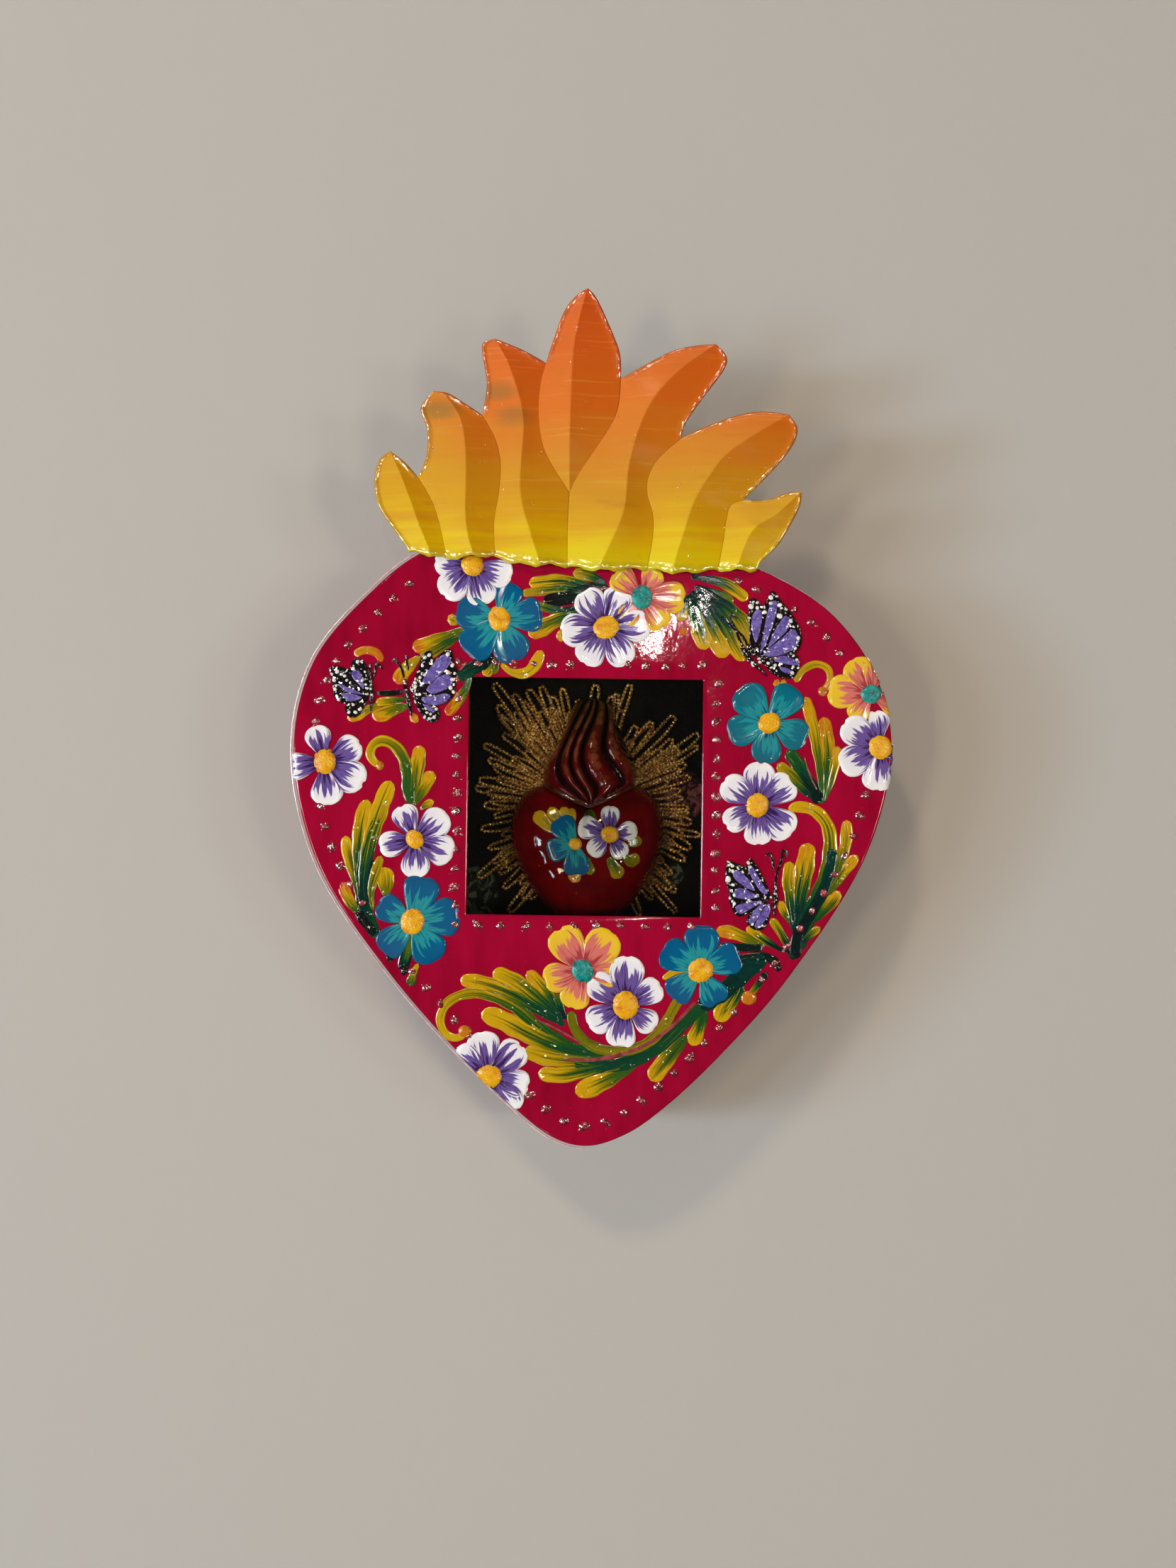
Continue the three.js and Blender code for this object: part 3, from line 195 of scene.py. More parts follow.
# Butterflies. Each dot is x, z, radius.
FLIES = [
    dict(wings=[
         (44.7, -13.6, 44.3, -6.7, 44, -1.3, 44.3, 1.3, 45.6, 2.2, 47.1, 1.1, 48.2, -0.1, 49.4, 1.9, 50.9, 4.2, 53.1,
          1.7, 55.6, -1.3, 57.7, -4.4, 58.9, -7.1, 59.1, -10.5, 57.3, -13.6, 52.3, -14.2, 48.1, -14.4),
         (46.6, -14.4, 49.2, -14.4, 52.3, -14.3, 57.3, -13.6, 58.5, -15.9, 58.5, -17.6, 56.9, -20.3, 54.2, -20.6,
          51.2, -19.5, 48.5, -16.7)],
         panels=[
         (45.5, -3.1, 46.6, -1.9, 47.7, -2.5, 47.4, -5.9, 46.2, -9.4, 45.2, -5.9),
         (47.8, -12.1, 48.5, -7.5, 49.4, -2.9, 50.5, -0.3, 51.8, -0.6, 51.2, -4.4, 50, -7.9, 48.9, -10.5),
         (50.2, -11.2, 51.2, -8.2, 52.5, -5.8, 54.2, -3.7, 55.2, -5.2, 54.7, -7, 52.3, -9.4),
         (49.4, -13.3, 53.1, -10, 56.1, -7.5, 57.4, -9.4, 56.6, -11.8, 53.1, -13.5),
         (52, -15.5, 54.2, -14.4, 57.2, -15.6, 57.7, -16.6, 55, -16.5),
         (53.1, -17.5, 55.4, -17.9, 56.2, -19.3, 54, -18.7)],
         feelers=[
         (44.3, -13.6, 42, -10.5, 40.1, -5.9, 39.3, -4.4, 39.4, -2.3, 41, -3.8),
         (44.7, -14, 42.7, -9, 39.3, -5.9, 37.4, -3.3, 36, -4.4)],
         dots=(44.8, -0.3, 0.77, 46.6, 0.8, 0.46, 46.6, -0.7, 0.54, 48.7, -1.9, 0.57, 50.4, 2.2, 0.69, 50.4, 0.6,
               0.54, 52.9, 0.1, 0.65, 52.9, -3, 0.77, 56, -4.4, 0.57, 58.1, -9.2, 0.61, 57.3, -12.1, 0.46, 57.7,
               -15.3, 0.42, 58.1, -17.6, 0.38, 48.7, -13.1, 0.42, 49.6, -16.3, 0.46, 51.6, -16.9, 0.5, 56.7, -17.3,
               0.42, 56.4, -19, 0.57, 47.3, -16, 0.46, 44.3, -15.2, 0.65, 45.5, -16.7, 0.57),
         body=(42.2, -11.5, 43.5, -14, 45.2, -15.9, 47.3, -17.8, 49.3, -19.9),
         girth=(1.3, 1.53, 1.3, 0.84, 0.23)),
    dict(wings=[
         (50.4, -82.1, 49.1, -78.2, 47.2, -74.4, 45.6, -72.1, 44.5, -71, 43.3, -73.4, 40.7, -72.6, 38.3, -71.9, 37.7,
          -74.4, 37.6, -77.5, 38.5, -80.5, 38.9, -84, 40.8, -87.5, 43.9, -87, 48.3, -84),
         (44.1, -87.2, 43.6, -89.3, 44.9, -91, 46.8, -91.7, 48.3, -91.2, 49.5, -89.7, 50.2, -86.6, 50, -83.6, 47.5,
          -84.3)],
         panels=[
         (44.5, -74.9, 45.6, -74.4, 47.3, -77.3, 49, -80.2, 47.7, -80.4, 45.8, -77.8),
         (40.2, -75.5, 41.8, -75.4, 44.1, -77.4, 45.3, -79.8, 43.1, -79, 40.8, -77.3),
         (40.6, -80.7, 42.2, -79.9, 45.1, -81.1, 46.4, -82, 43.1, -82.5, 40.8, -82),
         (41.1, -84.8, 44.5, -83.7, 47.2, -83.6, 44.1, -85.7, 42.1, -86.5),
         (44.5, -88.6, 45.8, -86.1, 47.7, -84.3, 47.9, -85.5, 45.8, -89),
         (46.2, -89.8, 47.7, -86.8, 49.4, -84.7, 49.8, -86.7, 48.3, -89.1, 47.2, -90.3)],
         feelers=[
         (51.7, -79, 52.1, -75.5, 53.5, -71.3, 53.8, -69.1, 54.9, -69.4, 54.7, -71),
         (51.2, -74.4, 50.8, -71.7, 50, -69.8, 48.9, -70.6)],
         dots=(38.4, -77.1, 0.84, 39.7, -74.9, 0.54, 39.6, -73.4, 0.5, 44.1, -72.5, 0.5, 44.6, -73.7, 0.46, 39.7,
               -78.7, 0.5, 40.1, -81.6, 0.5, 40.1, -84, 0.5, 38.9, -82.5, 0.38, 46.2, -81.9, 0.42, 43.3, -82.5, 0.31,
               43.7, -83.6, 0.34, 45.2, -89.8, 0.46, 47.1, -90.5, 0.38, 48.1, -90.2, 0.31, 50.4, -82.2, 0.34),
         body=(51.7, -78.8, 51.6, -80.9, 51.7, -82.8, 51.3, -85.1, 51.4, -87.6),
         girth=(0.99, 1.15, 1.38, 0.77, 0.31)),
    dict(wings=[
         (-51.4, -23.7, -50.1, -20.6, -48.8, -16.9, -47.9, -14.3, -46.4, -12.7, -45.1, -13, -44.6, -15.4, -43.1, -14,
          -41.1, -12.3, -39.5, -12.6, -38.9, -15.6, -37.9, -18.3, -38.3, -21.6, -38.8, -24.9, -40.5, -27.2, -43.8,
          -28.2, -47.1, -27, -49.8, -25.4),
         (-50.6, -25.4, -48.4, -26.2, -45.8, -27.7, -43.8, -28.2, -42.7, -30.5, -43.7, -32.7, -45.8, -32.9, -47.8,
          -31.2, -49.4, -28.5)],
         panels=[
         (-46.8, -20.4, -44.4, -16.6, -42.3, -14.6, -40.8, -15, -40.5, -16.6, -42.5, -19, -45.4, -21.2),
         (-45.8, -23.3, -43.8, -21.1, -41.7, -19.9, -40.1, -20.6, -40, -22.2, -41.8, -23.6, -44.4, -24.4),
         (-47.1, -26, -44.4, -25.6, -41.7, -25.1, -40.5, -25.6, -41.5, -26.9, -43.8, -27.8, -46.4, -27.3),
         (-47.4, -27.9, -45.4, -28.5, -44.3, -29.7, -45.8, -29.7)],
         feelers=[
         (-52.9, -20.6, -53.7, -17.6, -55.6, -15.1, -56.3, -15.8),
         (-51.7, -18.4, -52.1, -16.3, -52.4, -14)],
         dots=(-40.6, -13.8, 0.63, -45.8, -14, 0.56, -47, -14.7, 0.5, -45.1, -15.6, 0.43, -47.7, -17, 0.46, -47.1,
               -19.6, 0.43, -48.4, -20.3, 0.46, -49.8, -21.8, 0.53, -45.8, -21.7, 0.33, -39.3, -16.9, 0.6, -40.5,
               -18.9, 0.56, -39.3, -20.9, 0.6, -39.8, -23.2, 0.63, -39, -24.4, 0.5, -47.1, -31.5, 0.43, -45.8, -31.9,
               0.46, -44.4, -31.5, 0.5, -46.4, -30.2, 0.4, -43.8, -29.2, 0.46, -45.4, -30.6, 0.4, -48.1, -22.6, 0.33,
               -44.1, -26.6, 0.3),
         body=(-52.7, -20.8, -52.7, -22.6, -52.3, -24.2, -51.6, -27.2, -50.7, -31.2),
         girth=(0.73, 1.13, 1.33, 1, 0.33)),
    dict(wings=[
         (-62.5, -23.8, -62.9, -19.6, -63.7, -16.6, -66, -14.7, -67.5, -15.6, -68.5, -17.8, -71.9, -16.9, -74.1,
          -17.8, -73.3, -21.1, -72.6, -25.9, -69, -27.8, -64.8, -26.7),
         (-62.9, -24.7, -64, -28.7, -66.1, -31.4, -68.3, -31.5, -69.6, -29.5, -69, -27.4, -65.4, -26.5)],
         panels=[
         (-66.9, -18.7, -65.3, -19.2, -64.5, -22.9, -65.9, -21.8, -67.3, -20.1),
         (-70.9, -22.4, -67.7, -23.5, -64.9, -24.9, -69, -24.2),
         (-70, -25, -67.1, -25.1, -65.3, -26, -68.3, -26.8)],
         feelers=[
         (-62.1, -21.1, -61.2, -18.4, -60.6, -16.3, -58.9, -18),
         (-62.4, -20.5, -62.7, -18.1, -62.3, -16.2)],
         dots=(-66, -15.9, 0.54, -67.2, -17.8, 0.54, -69.6, -19.9, 0.48, -72.6, -21.1, 0.54, -71.7, -18.7, 0.6, -70.5,
               -19.4, 0.48, -69, -21.1, 0.42, -64.7, -21.2, 0.48, -72.3, -23.6, 0.54, -71.3, -26.5, 0.48, -68.4,
               -30.1, 0.48, -66.6, -30.1, 0.54, -67.2, -28, 0.42, -65.4, -29.3, 0.48, -73.2, -19.4, 0.42, -63.9,
               -18.7, 0.36),
         body=(-62.3, -21.1, -62.1, -23.5, -61.8, -24.7, -62.2, -27.1, -62.3, -29.8),
         girth=(0.72, 1.2, 1.32, 0.84, 0.3)),
]
# On the clay heart.
CLAY_FLOWERS = [
    ("white", 5.2, -64.9, 2.49, 88, 8.23, 163, 9.48, -135, 8.23, -58, 7.98, 9, 8.23),
    ("blue", -4.9, -67.7, 1.75, 124, 9.23, -163, 8.48, -86, 9.48),
]
CLAY_LEAVES = [
    ("leaf", 4.49, 0.7, 0.85, -9.2, -64.5, -13.2, -62, -16.7, -58.5),
    ("leaf", 3.49, 0.7, 0.85, -9.2, -62, -11.2, -59, -12.2, -57),
    ("leaf", 3.19, 0.65, 0.85, -6.2, -62, -7.7, -59, -8.9, -57.1),
    ("leaf", 2.49, 0.8, 0.9, -5.2, -62, -5.7, -59, -6.7, -57.5),
    ("leaf", 3.49, 0.3, 0.5, 1.3, -62, -0.2, -60, -1.7, -58),
    ("leaf", 3.99, 0.5, 0.68, 10.3, -67.9, 12.8, -67, 13.8, -65.5),
    ("leaf", 3.99, 0.5, 0.65, 8.8, -70.4, 11.8, -72.9, 12.8, -70.4),
    ("leaf", 4.49, 0.45, 0.7, 4.8, -71.4, 6.8, -74.9, 8.5, -77.7),
    ("leaf", 2.99, 0.4, 0.6, -1.2, -71.4, -0.7, -74.4, -0.2, -76.7),
    ("leaf", 3.99, 0.8, 0.92, -4.2, -73.9, -4.9, -76.9, -5.7, -78.9),
]

# Lines and outlines

def rows_of(numbers, columns=2):
    return np.reshape(np.asarray(numbers, float), (-1, columns))


def unit(vectors):
    return vectors / np.maximum(np.linalg.norm(vectors, axis=-1, keepdims=True), 1e-9)


def turned_left(vectors):
    return np.stack([-vectors[:, 1], vectors[:, 0]], axis=1)


def at_shares(line, shares):
    """The points of the line at these shares of its length."""
    lengths = np.concatenate([[0], np.cumsum(np.linalg.norm(np.diff(line, axis=0), axis=1))])
    return np.stack([np.interp(shares * lengths[-1], lengths, column) for column in line.T], axis=1)


def respaced(line, count):
    """The line with count points at equal steps along it."""
    return at_shares(np.asarray(line, float), np.linspace(0, 1, count))


def length_of(line):
    return float(np.linalg.norm(np.diff(line, axis=0), axis=1).sum())


def bend(b, c, m, n):
    """A fine curve from b towards c that leaves along m and arrives along n."""
    t = np.linspace(0, 1, 24, endpoint=False)[:, None]
    return (2 * b - 2 * c + m + n) * t ** 3 + (-3 * b + 3 * c - 2 * m - n) * t ** 2 + m * t + b


def smooth_line(points, step):
    """A smooth line through the points, with a point about every step."""
    p = np.asarray([points[0], *points, points[-1]], float)
    parts = [bend(b, c, (c - a) / 2, (d - b) / 2) for a, b, c, d in zip(p, p[1:], p[2:], p[3:])]
    line = np.vstack(parts + [p[-1:]])
    return respaced(line, max(4, int(length_of(line) / step) + 1))


def smooth_loop(points, step, centripetal=False):
    """A smooth closed line through the points; its first point isn't repeated."""
    p = np.asarray(points, float)
    parts = []
    for a, b, c, d in zip(np.roll(p, 1, axis=0), p, np.roll(p, -1, axis=0), np.roll(p, -2, axis=0)):
        m, n = (c - a) / 2, (d - b) / 2
        if centripetal:
            ab, bc, cd = (max(1e-6, float(np.sum((v - u) ** 2)) ** 0.25) for u, v in ((a, b), (b, c), (c, d)))
            m = ((b - a) / ab - (c - a) / (ab + bc) + (c - b) / bc) * bc
            n = ((c - b) / bc - (d - b) / (bc + cd) + (d - c) / cd) * bc
        parts.append(bend(b, c, m, n))
    line = np.vstack(parts + [parts[0][:1]])
    return respaced(line, max(8, int(length_of(line) / step) + 1))[:-1]


def sideways(line):
    """Unit vectors square to the line at each point, in its plane, to the line's left."""
    return turned_left(unit(np.gradient(line, axis=0)))


def loop_normals(loop):
    """Unit vectors out of a closed clockwise loop."""
    return turned_left(unit(np.roll(loop, -1, axis=0) - np.roll(loop, 1, axis=0)))


def clockwise_loop(points, step):
    loop = smooth_loop(points, step)
    return loop if twice_area(loop) < 0 else loop[::-1]


def twice_area(loop):
    """Twice the loop's area, less than 0 if it goes round clockwise."""
    after = np.roll(loop, -1, axis=0)
    return float((loop[:, 0] * after[:, 1] - after[:, 0] * loop[:, 1]).sum())


def inside_loop(points, loop):
    """True for each point within the closed loop."""
    x, z = points[:, 0][:, None], points[:, 1][:, None]
    x0, z0 = loop[:, 0][None], loop[:, 1][None]
    x1, z1 = np.roll(loop[:, 0], -1)[None], np.roll(loop[:, 1], -1)[None]
    crossing = (z0 > z) != (z1 > z)
    rise = np.where(z1 == z0, 1e-9, z1 - z0)
    return (crossing & (x < (x1 - x0) * (z - z0) / rise + x0)).sum(axis=1) % 2 == 1


def nearest_on(points, loop):
    """For each point the index of the loop's nearest point and how far it is."""
    index, away = [], []
    for part in np.split(points, range(2000, len(points), 2000)):
        squared = ((part[:, None, :] - loop[None]) ** 2).sum(axis=2)
        index.append(squared.argmin(axis=1))
        away.append(np.sqrt(squared.min(axis=1)))
    return np.concatenate(index), np.concatenate(away)


# The front's shape

OUTLINE = smooth_loop(HEART, 0.5, centripetal=True)
OUTLINE_OUT = loop_normals(OUTLINE)
ROLL = 0.6


def beyond_edge(points):
    """Each point's distance outside the heart's outline, less than 0 within it, and the outline's nearest point."""
    index, away = nearest_on(points, OUTLINE)
    across = ((points - OUTLINE[index]) * OUTLINE_OUT[index]).sum(axis=1)
    return np.where(across > 0, away, -away), index


def rotated(points, angle):
    c, s = math.cos(angle), math.sin(angle)
    return np.stack([c * points[:, 0] - s * points[:, 1], s * points[:, 0] + c * points[:, 1]], axis=1)


def window_frame(points):
    """The points in the window's own slightly tilted frame."""
    return rotated(points - WINDOW, -WINDOW_TILT)


def from_window_frame(points):
    return rotated(points, WINDOW_TILT) + WINDOW


def dents(points):
    """How far hand-worked sheet stands proud of its plane at each point."""
    x, z = points[:, 0], points[:, 1]
    swell = (np.sin(x * 0.071 + z * 0.043 + 0.6) + np.sin(x * -0.049 + z * 0.083 + 2.1)
             + 0.7 * np.sin(x * 0.137 + z * -0.111 + 4.0) + 0.45 * np.sin(x * 0.211 + z * 0.173 + 1.2))
    return 0.045 * (swell + 3.15)


def on_front(points, lift):
    """Places drawing on the painted front: flat on it, and bent round its edge onto the side band."""
    beyond, index = beyond_edge(points)
    turn = np.clip((beyond + ROLL) / ROLL, 0, math.pi / 2)
    rest = np.maximum(0, beyond + ROLL - ROLL * math.pi / 2)
    on_roll = OUTLINE[index] + OUTLINE_OUT[index] * (ROLL * (np.sin(turn) - 1) + lift * np.sin(turn))[:, None]
    place = np.where(turn[:, None] <= 0, points, on_roll)
    to_window = np.linalg.norm(np.maximum(0, np.abs(window_frame(points)) - WINDOW_HALF), axis=1)
    fade = np.clip(-beyond / 6, 0, 1) * np.clip(to_window / 4, 0, 1)
    return at_depth(place, FRONT - dents(points) * fade - lift * np.cos(turn) + ROLL * (1 - np.cos(turn)) + rest)


def at_depth(flat, y):
    """Points in space from points on the front's plane and their depths."""
    return np.stack(np.broadcast_arrays(flat[..., 0], y, flat[..., 1]), axis=-1)


# Meshes

class Pile:
    """Grids and patches of one finish, gathered into one mesh with a map of each stroke and facts about it."""

    def __init__(self, place=on_front):
        self.place = place
        self.points, self.faces, self.maps, self.facts = [], [], [], []
        self.count = 0

    def take(self, flat, lift, faces, maps, facts):
        if sum(twice_area(flat[list(face)]) for face in faces[:: max(1, len(faces) // 60)]) < 0:
            faces = [face[::-1] for face in faces]
        self.points.append(self.place(flat, lift))
        self.faces.extend(tuple(i + self.count for i in face) for face in faces)
        self.maps.append(maps)
        self.facts.append(np.broadcast_to(np.asarray(facts, float), (len(flat), 3)))
        self.count += len(flat)

    def grid(self, flat, lift, facts, closed=False):
        """flat is rows by columns of points; the last column joins the first if closed."""
        rows, columns = lift.shape
        self.take(flat.reshape(-1, 2), lift.ravel(), grid_faces(rows, columns, closed),
                  unit_map(rows, columns), facts)

    def mesh(self, name, material, body="case", slot="painted_front"):
        return made(name, np.vstack(self.points), self.faces, material, body,
                    np.vstack(self.maps), np.vstack(self.facts))


def grid_faces(rows, columns, closed=False, capped=False):
    faces = []
    for i in range(rows - 1):
        for j in range(columns if closed else columns - 1):
            k = (j + 1) % columns
            faces.append((i * columns + j, i * columns + k, (i + 1) * columns + k, (i + 1) * columns + j))
    if capped:
        faces += [tuple(range(columns))[::-1], tuple((rows - 1) * columns + j for j in range(columns))]
    return faces


def unit_map(rows, columns):
    """A map of a grid: 0 to 1 across its columns and along its rows, which can be a count or places."""
    along = np.linspace(0, 1, rows) if isinstance(rows, int) else rows
    return np.stack(np.meshgrid(np.linspace(0, 1, columns), along), axis=2).reshape(-1, 2)


def made(name, points, faces, material, body, maps=None, facts=None):
    """A named piece that rides a CAD body, from points in millimetres."""
    data = bpy.data.meshes.new(name)
    data.from_pydata((points * MM).tolist(), [], [list(face) for face in faces])
    corner = np.empty(len(data.loops), np.int32)
    data.loops.foreach_get("vertex_index", corner)
    if maps is not None:
        data.uv_layers.new(name="UVMap").data.foreach_set("uv", maps[corner].astype(np.float32).ravel())
    if facts is not None:
        layer = data.attributes.new("facts", "FLOAT_VECTOR", "POINT")
        layer.data.foreach_set("vector", facts.astype(np.float32).ravel())
    data.polygons.foreach_set("use_smooth", np.ones(len(data.polygons), bool))
    data.materials.append(material)
    obj = linked(name, data)
    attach(obj, body)
    return obj


def linked(name, data):
    obj = bpy.data.objects.new(name, data)
    bpy.context.scene.collection.objects.link(obj)
    return obj


def tubes(name, lines, radius, material, body, sides=8, beads=0.0):
    """Round tubes along lines of points, as one piece."""
    points, faces, maps = [], [], []
    count = 0
    for line in lines:
        rows = len(line)
        run = unit(np.gradient(line, axis=0))
        side = unit(np.cross(run, (0.0, 1.0, 0.0)))
        up = np.cross(side, run)
        turn = np.linspace(0, 2 * math.pi, sides, endpoint=False)
        order = np.arange(rows)
        swell = np.minimum(1, 0.4 + np.minimum(order, order[::-1]) * 0.3) * (1 + beads * np.sin(order * 1.7))
        ring = side[:, None] * np.cos(turn)[None, :, None] + up[:, None] * np.sin(turn)[None, :, None]
        points.append((line[:, None] + ring * radius * swell[:, None, None]).reshape(-1, 3))
        maps.append(unit_map(rows, sides))
        faces += [tuple(i + count for i in face) for face in grid_faces(rows, sides, closed=True, capped=True)]
        count += rows * sides
    return made(name, np.vstack(points), faces, material, body, np.vstack(maps))


# Paint laid on thickly: strokes, petals, drops and patches

RANDOM = np.random.default_rng(7)


def seeded():
    """Facts for paint whose finish only needs a seed."""
    return 0, 0, RANDOM.uniform()


def rounded(t):
    """The height of a round edge at each share of its width."""
    return np.sqrt(np.clip(1 - (1 - np.clip(t, 0, 1)) ** 2, 0, 1))


def spread_from(line, half, across):
    """Points to either side of the line, by shares of its half width at each point."""
    return line[:, None] + sideways(line)[:, None] * (half[:, None] * across[None])[:, :, None]


# How wide each shape of stroke is along itself, and the share of its round end that its foot has.
SWELLS = {"leaf": ([0, 0.15, 0.45, 0.72, 0.86, 1], [0.3, 0.5, 0.82, 1.0, 0.93, 0.8], 0.4),
          "curl": ([0, 0.2, 0.6, 1], [0.7, 1.0, 0.8, 0.55], 1),
          "even": ([0, 0.3, 0.7, 1], [0.85, 1.0, 0.95, 0.8], 1)}
STROKE_ACROSS = np.array([-1, -0.93, -0.8, -0.55, -0.28, 0, 0.28, 0.55, 0.8, 0.93, 1])


def stroke(pile, points, width, shape, tones, height=0.3, lift=0.0):
    """A brush stroke along the points, starting at its darker foot."""
    line = smooth_line(points, 0.55)
    t = np.linspace(0, 1, len(line))
    length = length_of(line)
    ends = 0.45 * width / max(length, width)
    places, widths, foot = SWELLS[shape]
    wobble = 1 + 0.05 * np.sin(t * length * 1.1 + RANDOM.uniform(0, 6))
    half = width / 2 * np.interp(t, places, widths) * rounded(t / (ends * foot)) * rounded((1 - t) / ends) * wobble
    half = np.maximum(0.02, half)
    body = np.sqrt(1 - STROKE_ACROSS ** 6) * (0.72 + 0.28 * STROKE_ACROSS ** 2)
    combed = 1 + 0.10 * np.sin(STROKE_ACROSS * 9 + RANDOM.uniform(0, 6))
    full = np.clip(half / (0.3 * width), 0, 1) ** 0.6
    rise = height * full[:, None] * (body * combed)[None] + lift
    rise[:, [0, -1]] = SUNK
    pile.grid(spread_from(line, half, STROKE_ACROSS), rise, (*tones, RANDOM.uniform()))


PETAL_ALONG = np.array([0, 0.06, 0.14, 0.22, 0.31, 0.4, 0.5, 0.6, 0.69, 0.77, 0.84, 0.9, 0.945, 0.975, 0.992, 1])
PETAL_ACROSS = np.array([-1, -0.95, -0.86, -0.72, -0.5, -0.25, 0, 0.25, 0.5, 0.72, 0.86, 0.95, 1])
PETAL_WIDTH = ([0, 0.1, 0.25, 0.4, 0.55, 0.68, 0.8, 0.9, 0.96, 0.99, 1.0],
               [0.4, 0.5, 0.7, 0.86, 0.98, 1.0, 0.93, 0.74, 0.5, 0.28, 0.03])


def petal(pile, centre, angle, start, length, share, lift, shade, height=0.42):
    """One petal from near the flower's centre out, with a thick rim and a shallow hollow."""
    t, across = PETAL_ALONG[:, None], PETAL_ACROSS[None]
    long = length - start
    half = long * share / 2 * np.interp(t, *PETAL_WIDTH)
    lean = RANDOM.uniform(-0.06, 0.06) * long
    dented = RANDOM.uniform(0, 0.05)
    along = start + long * t * (1 - dented * (1 - across ** 2) * t ** 3)
    side = half * across * (1 + 0.04 * np.sin(t * 7 + RANDOM.uniform(0, 6))) + lean * (t ** 2 - t)
    flat = rotated(np.stack([along.ravel(), side.ravel()], axis=1), math.radians(angle)) + centre
    rim = 0.5 + 0.5 * np.exp(-((np.abs(across) - 0.8) / 0.16) ** 2)
    tip = 0.5 + 0.5 * np.exp(-((t - 0.93) / 0.06) ** 2)
    grooves = 0.06 * np.sin(across * 14 + RANDOM.uniform(0, 6)) * (1 - t)
    rise = (height * (np.maximum(rim, tip) + grooves) + lift) * (1.0 - t ** 14)
    rise[:, [0, -1]] = SUNK
    rise[-1] = SUNK
    pile.grid(flat, rise, (RANDOM.uniform(), shade, RANDOM.uniform()))


DROP_RINGS = np.array([1.0, 0.86, 0.66, 0.42, 0.2])
DROP_RISES = np.array([SUNK, 0.3, 0.68, 0.88, 0.97, 1.0])


def drop(pile, centre, radius, height, facts, lift=0.0, sides=16, rough=0.08, flare=1.12):
    """A domed drop of paint, slightly uneven."""
    rings = np.append(flare, DROP_RINGS)[:, None]
    turn = np.linspace(0, 2 * math.pi, sides, endpoint=False) + RANDOM.uniform(0, 6)
    uneven = 1 + rough * np.sin(turn * 2 + RANDOM.uniform(0, 6)) * RANDOM.uniform(0.3, 1)
    ring = np.stack([np.cos(turn), np.sin(turn)], axis=1)
    flat = (radius * rings * uneven)[:, :, None] * ring + centre
    rise = height * DROP_RISES[:, None] * (1 + rough * RANDOM.uniform(-1, 1, (len(rings), sides))) + lift
    rise[0] = SUNK
    maps = 0.5 + 0.5 * rings[:, :, None] / flare * ring
    last = (len(rings) - 1) * sides
    faces = grid_faces(len(rings), sides, closed=True)
    faces += [(last + j, last + (j + 1) % sides, last + sides) for j in range(sides)]
    pile.take(np.vstack([flat.reshape(-1, 2), [centre]]), np.append(rise.ravel(), height + lift), faces,
              np.vstack([maps.reshape(-1, 2), [[0.5, 0.5]]]), facts)


def patch(pile, points, height, facts, lift=0.0, spacing=1.3, edge=0.3):
    """A filled shape with a rounded edge."""
    loop = clockwise_loop(points, 0.45)
    low, high = loop.min(axis=0), loop.max(axis=0)
    xs, zs = np.meshgrid(np.arange(low[0], high[0], spacing), np.arange(low[1], high[1], spacing))
    fill = np.vstack([loop - loop_normals(loop) * edge * 0.35, loop - loop_normals(loop) * edge,
                      np.stack([xs.ravel(), zs.ravel()], axis=1)])
    fill = fill[inside_loop(fill, loop)]
    fill = fill[nearest_on(fill, loop)[1] > edge * 0.2]
    ring = [(i, (i + 1) % len(loop)) for i in range(len(loop))]
    flat, _, faces, *_ = delaunay_2d_cdt([Vector(p) for p in np.vstack([loop, fill])], ring, [], 1, 1e-5)
    flat = np.array([tuple(p) for p in flat])
    away = nearest_on(flat, loop)[1]
    rise = height * rounded(away / edge) + lift
    rise[away < 0.02] = SUNK
    pile.take(flat, rise, [tuple(face) for face in faces], (flat - low) / np.maximum(high - low, 0.1), facts)

# Finishes. Colours are written as seen on a screen, red, green and blue from 0 to 255.

def ink(colour):
    """A screen colour as the linear colour that shaders take; a wire stays as it is."""
    if isinstance(colour, Wire):
        return colour
    scaled = np.array(colour) / 255.0
    linear = np.where(scaled <= 0.04045, scaled / 12.92, ((scaled + 0.055) / 1.055) ** 2.4)
    return (*(float(c) for c in linear), 1.0)


class Wire:
    """A node's output, which can be added to, multiplied and so on."""

    def __init__(self, finish, socket):
        self.finish, self.socket = finish, socket

    def __add__(self, other):
        return self.finish.math("ADD", self, other)

    def __sub__(self, other):
        return self.finish.math("SUBTRACT", self, other)

    def __rsub__(self, other):
        return self.finish.math("SUBTRACT", other, self)

    def __mul__(self, other):
        return self.finish.math("MULTIPLY", self, other)

    def __truediv__(self, other):
        return self.finish.math("DIVIDE", self, other)

    def __abs__(self):
        return self.finish.math("ABSOLUTE", self)

    def step(self, low, high):
        """From 0 at low to 1 at high, smoothly."""
        return self.finish.wire("MapRange", {0: self, 1: low, 2: high, 3: 0.0, 4: 1.0},
                                interpolation_type="SMOOTHSTEP")

    def fall(self, low, high):
        """From 1 at low to 0 at high, smoothly."""
        return 1.0 - self.step(low, high)

    def parts(self):
        """A vector's x, y and z."""
        return [Wire(self.finish, part) for part in self.finish.node("SeparateXYZ", {0: self}).outputs]


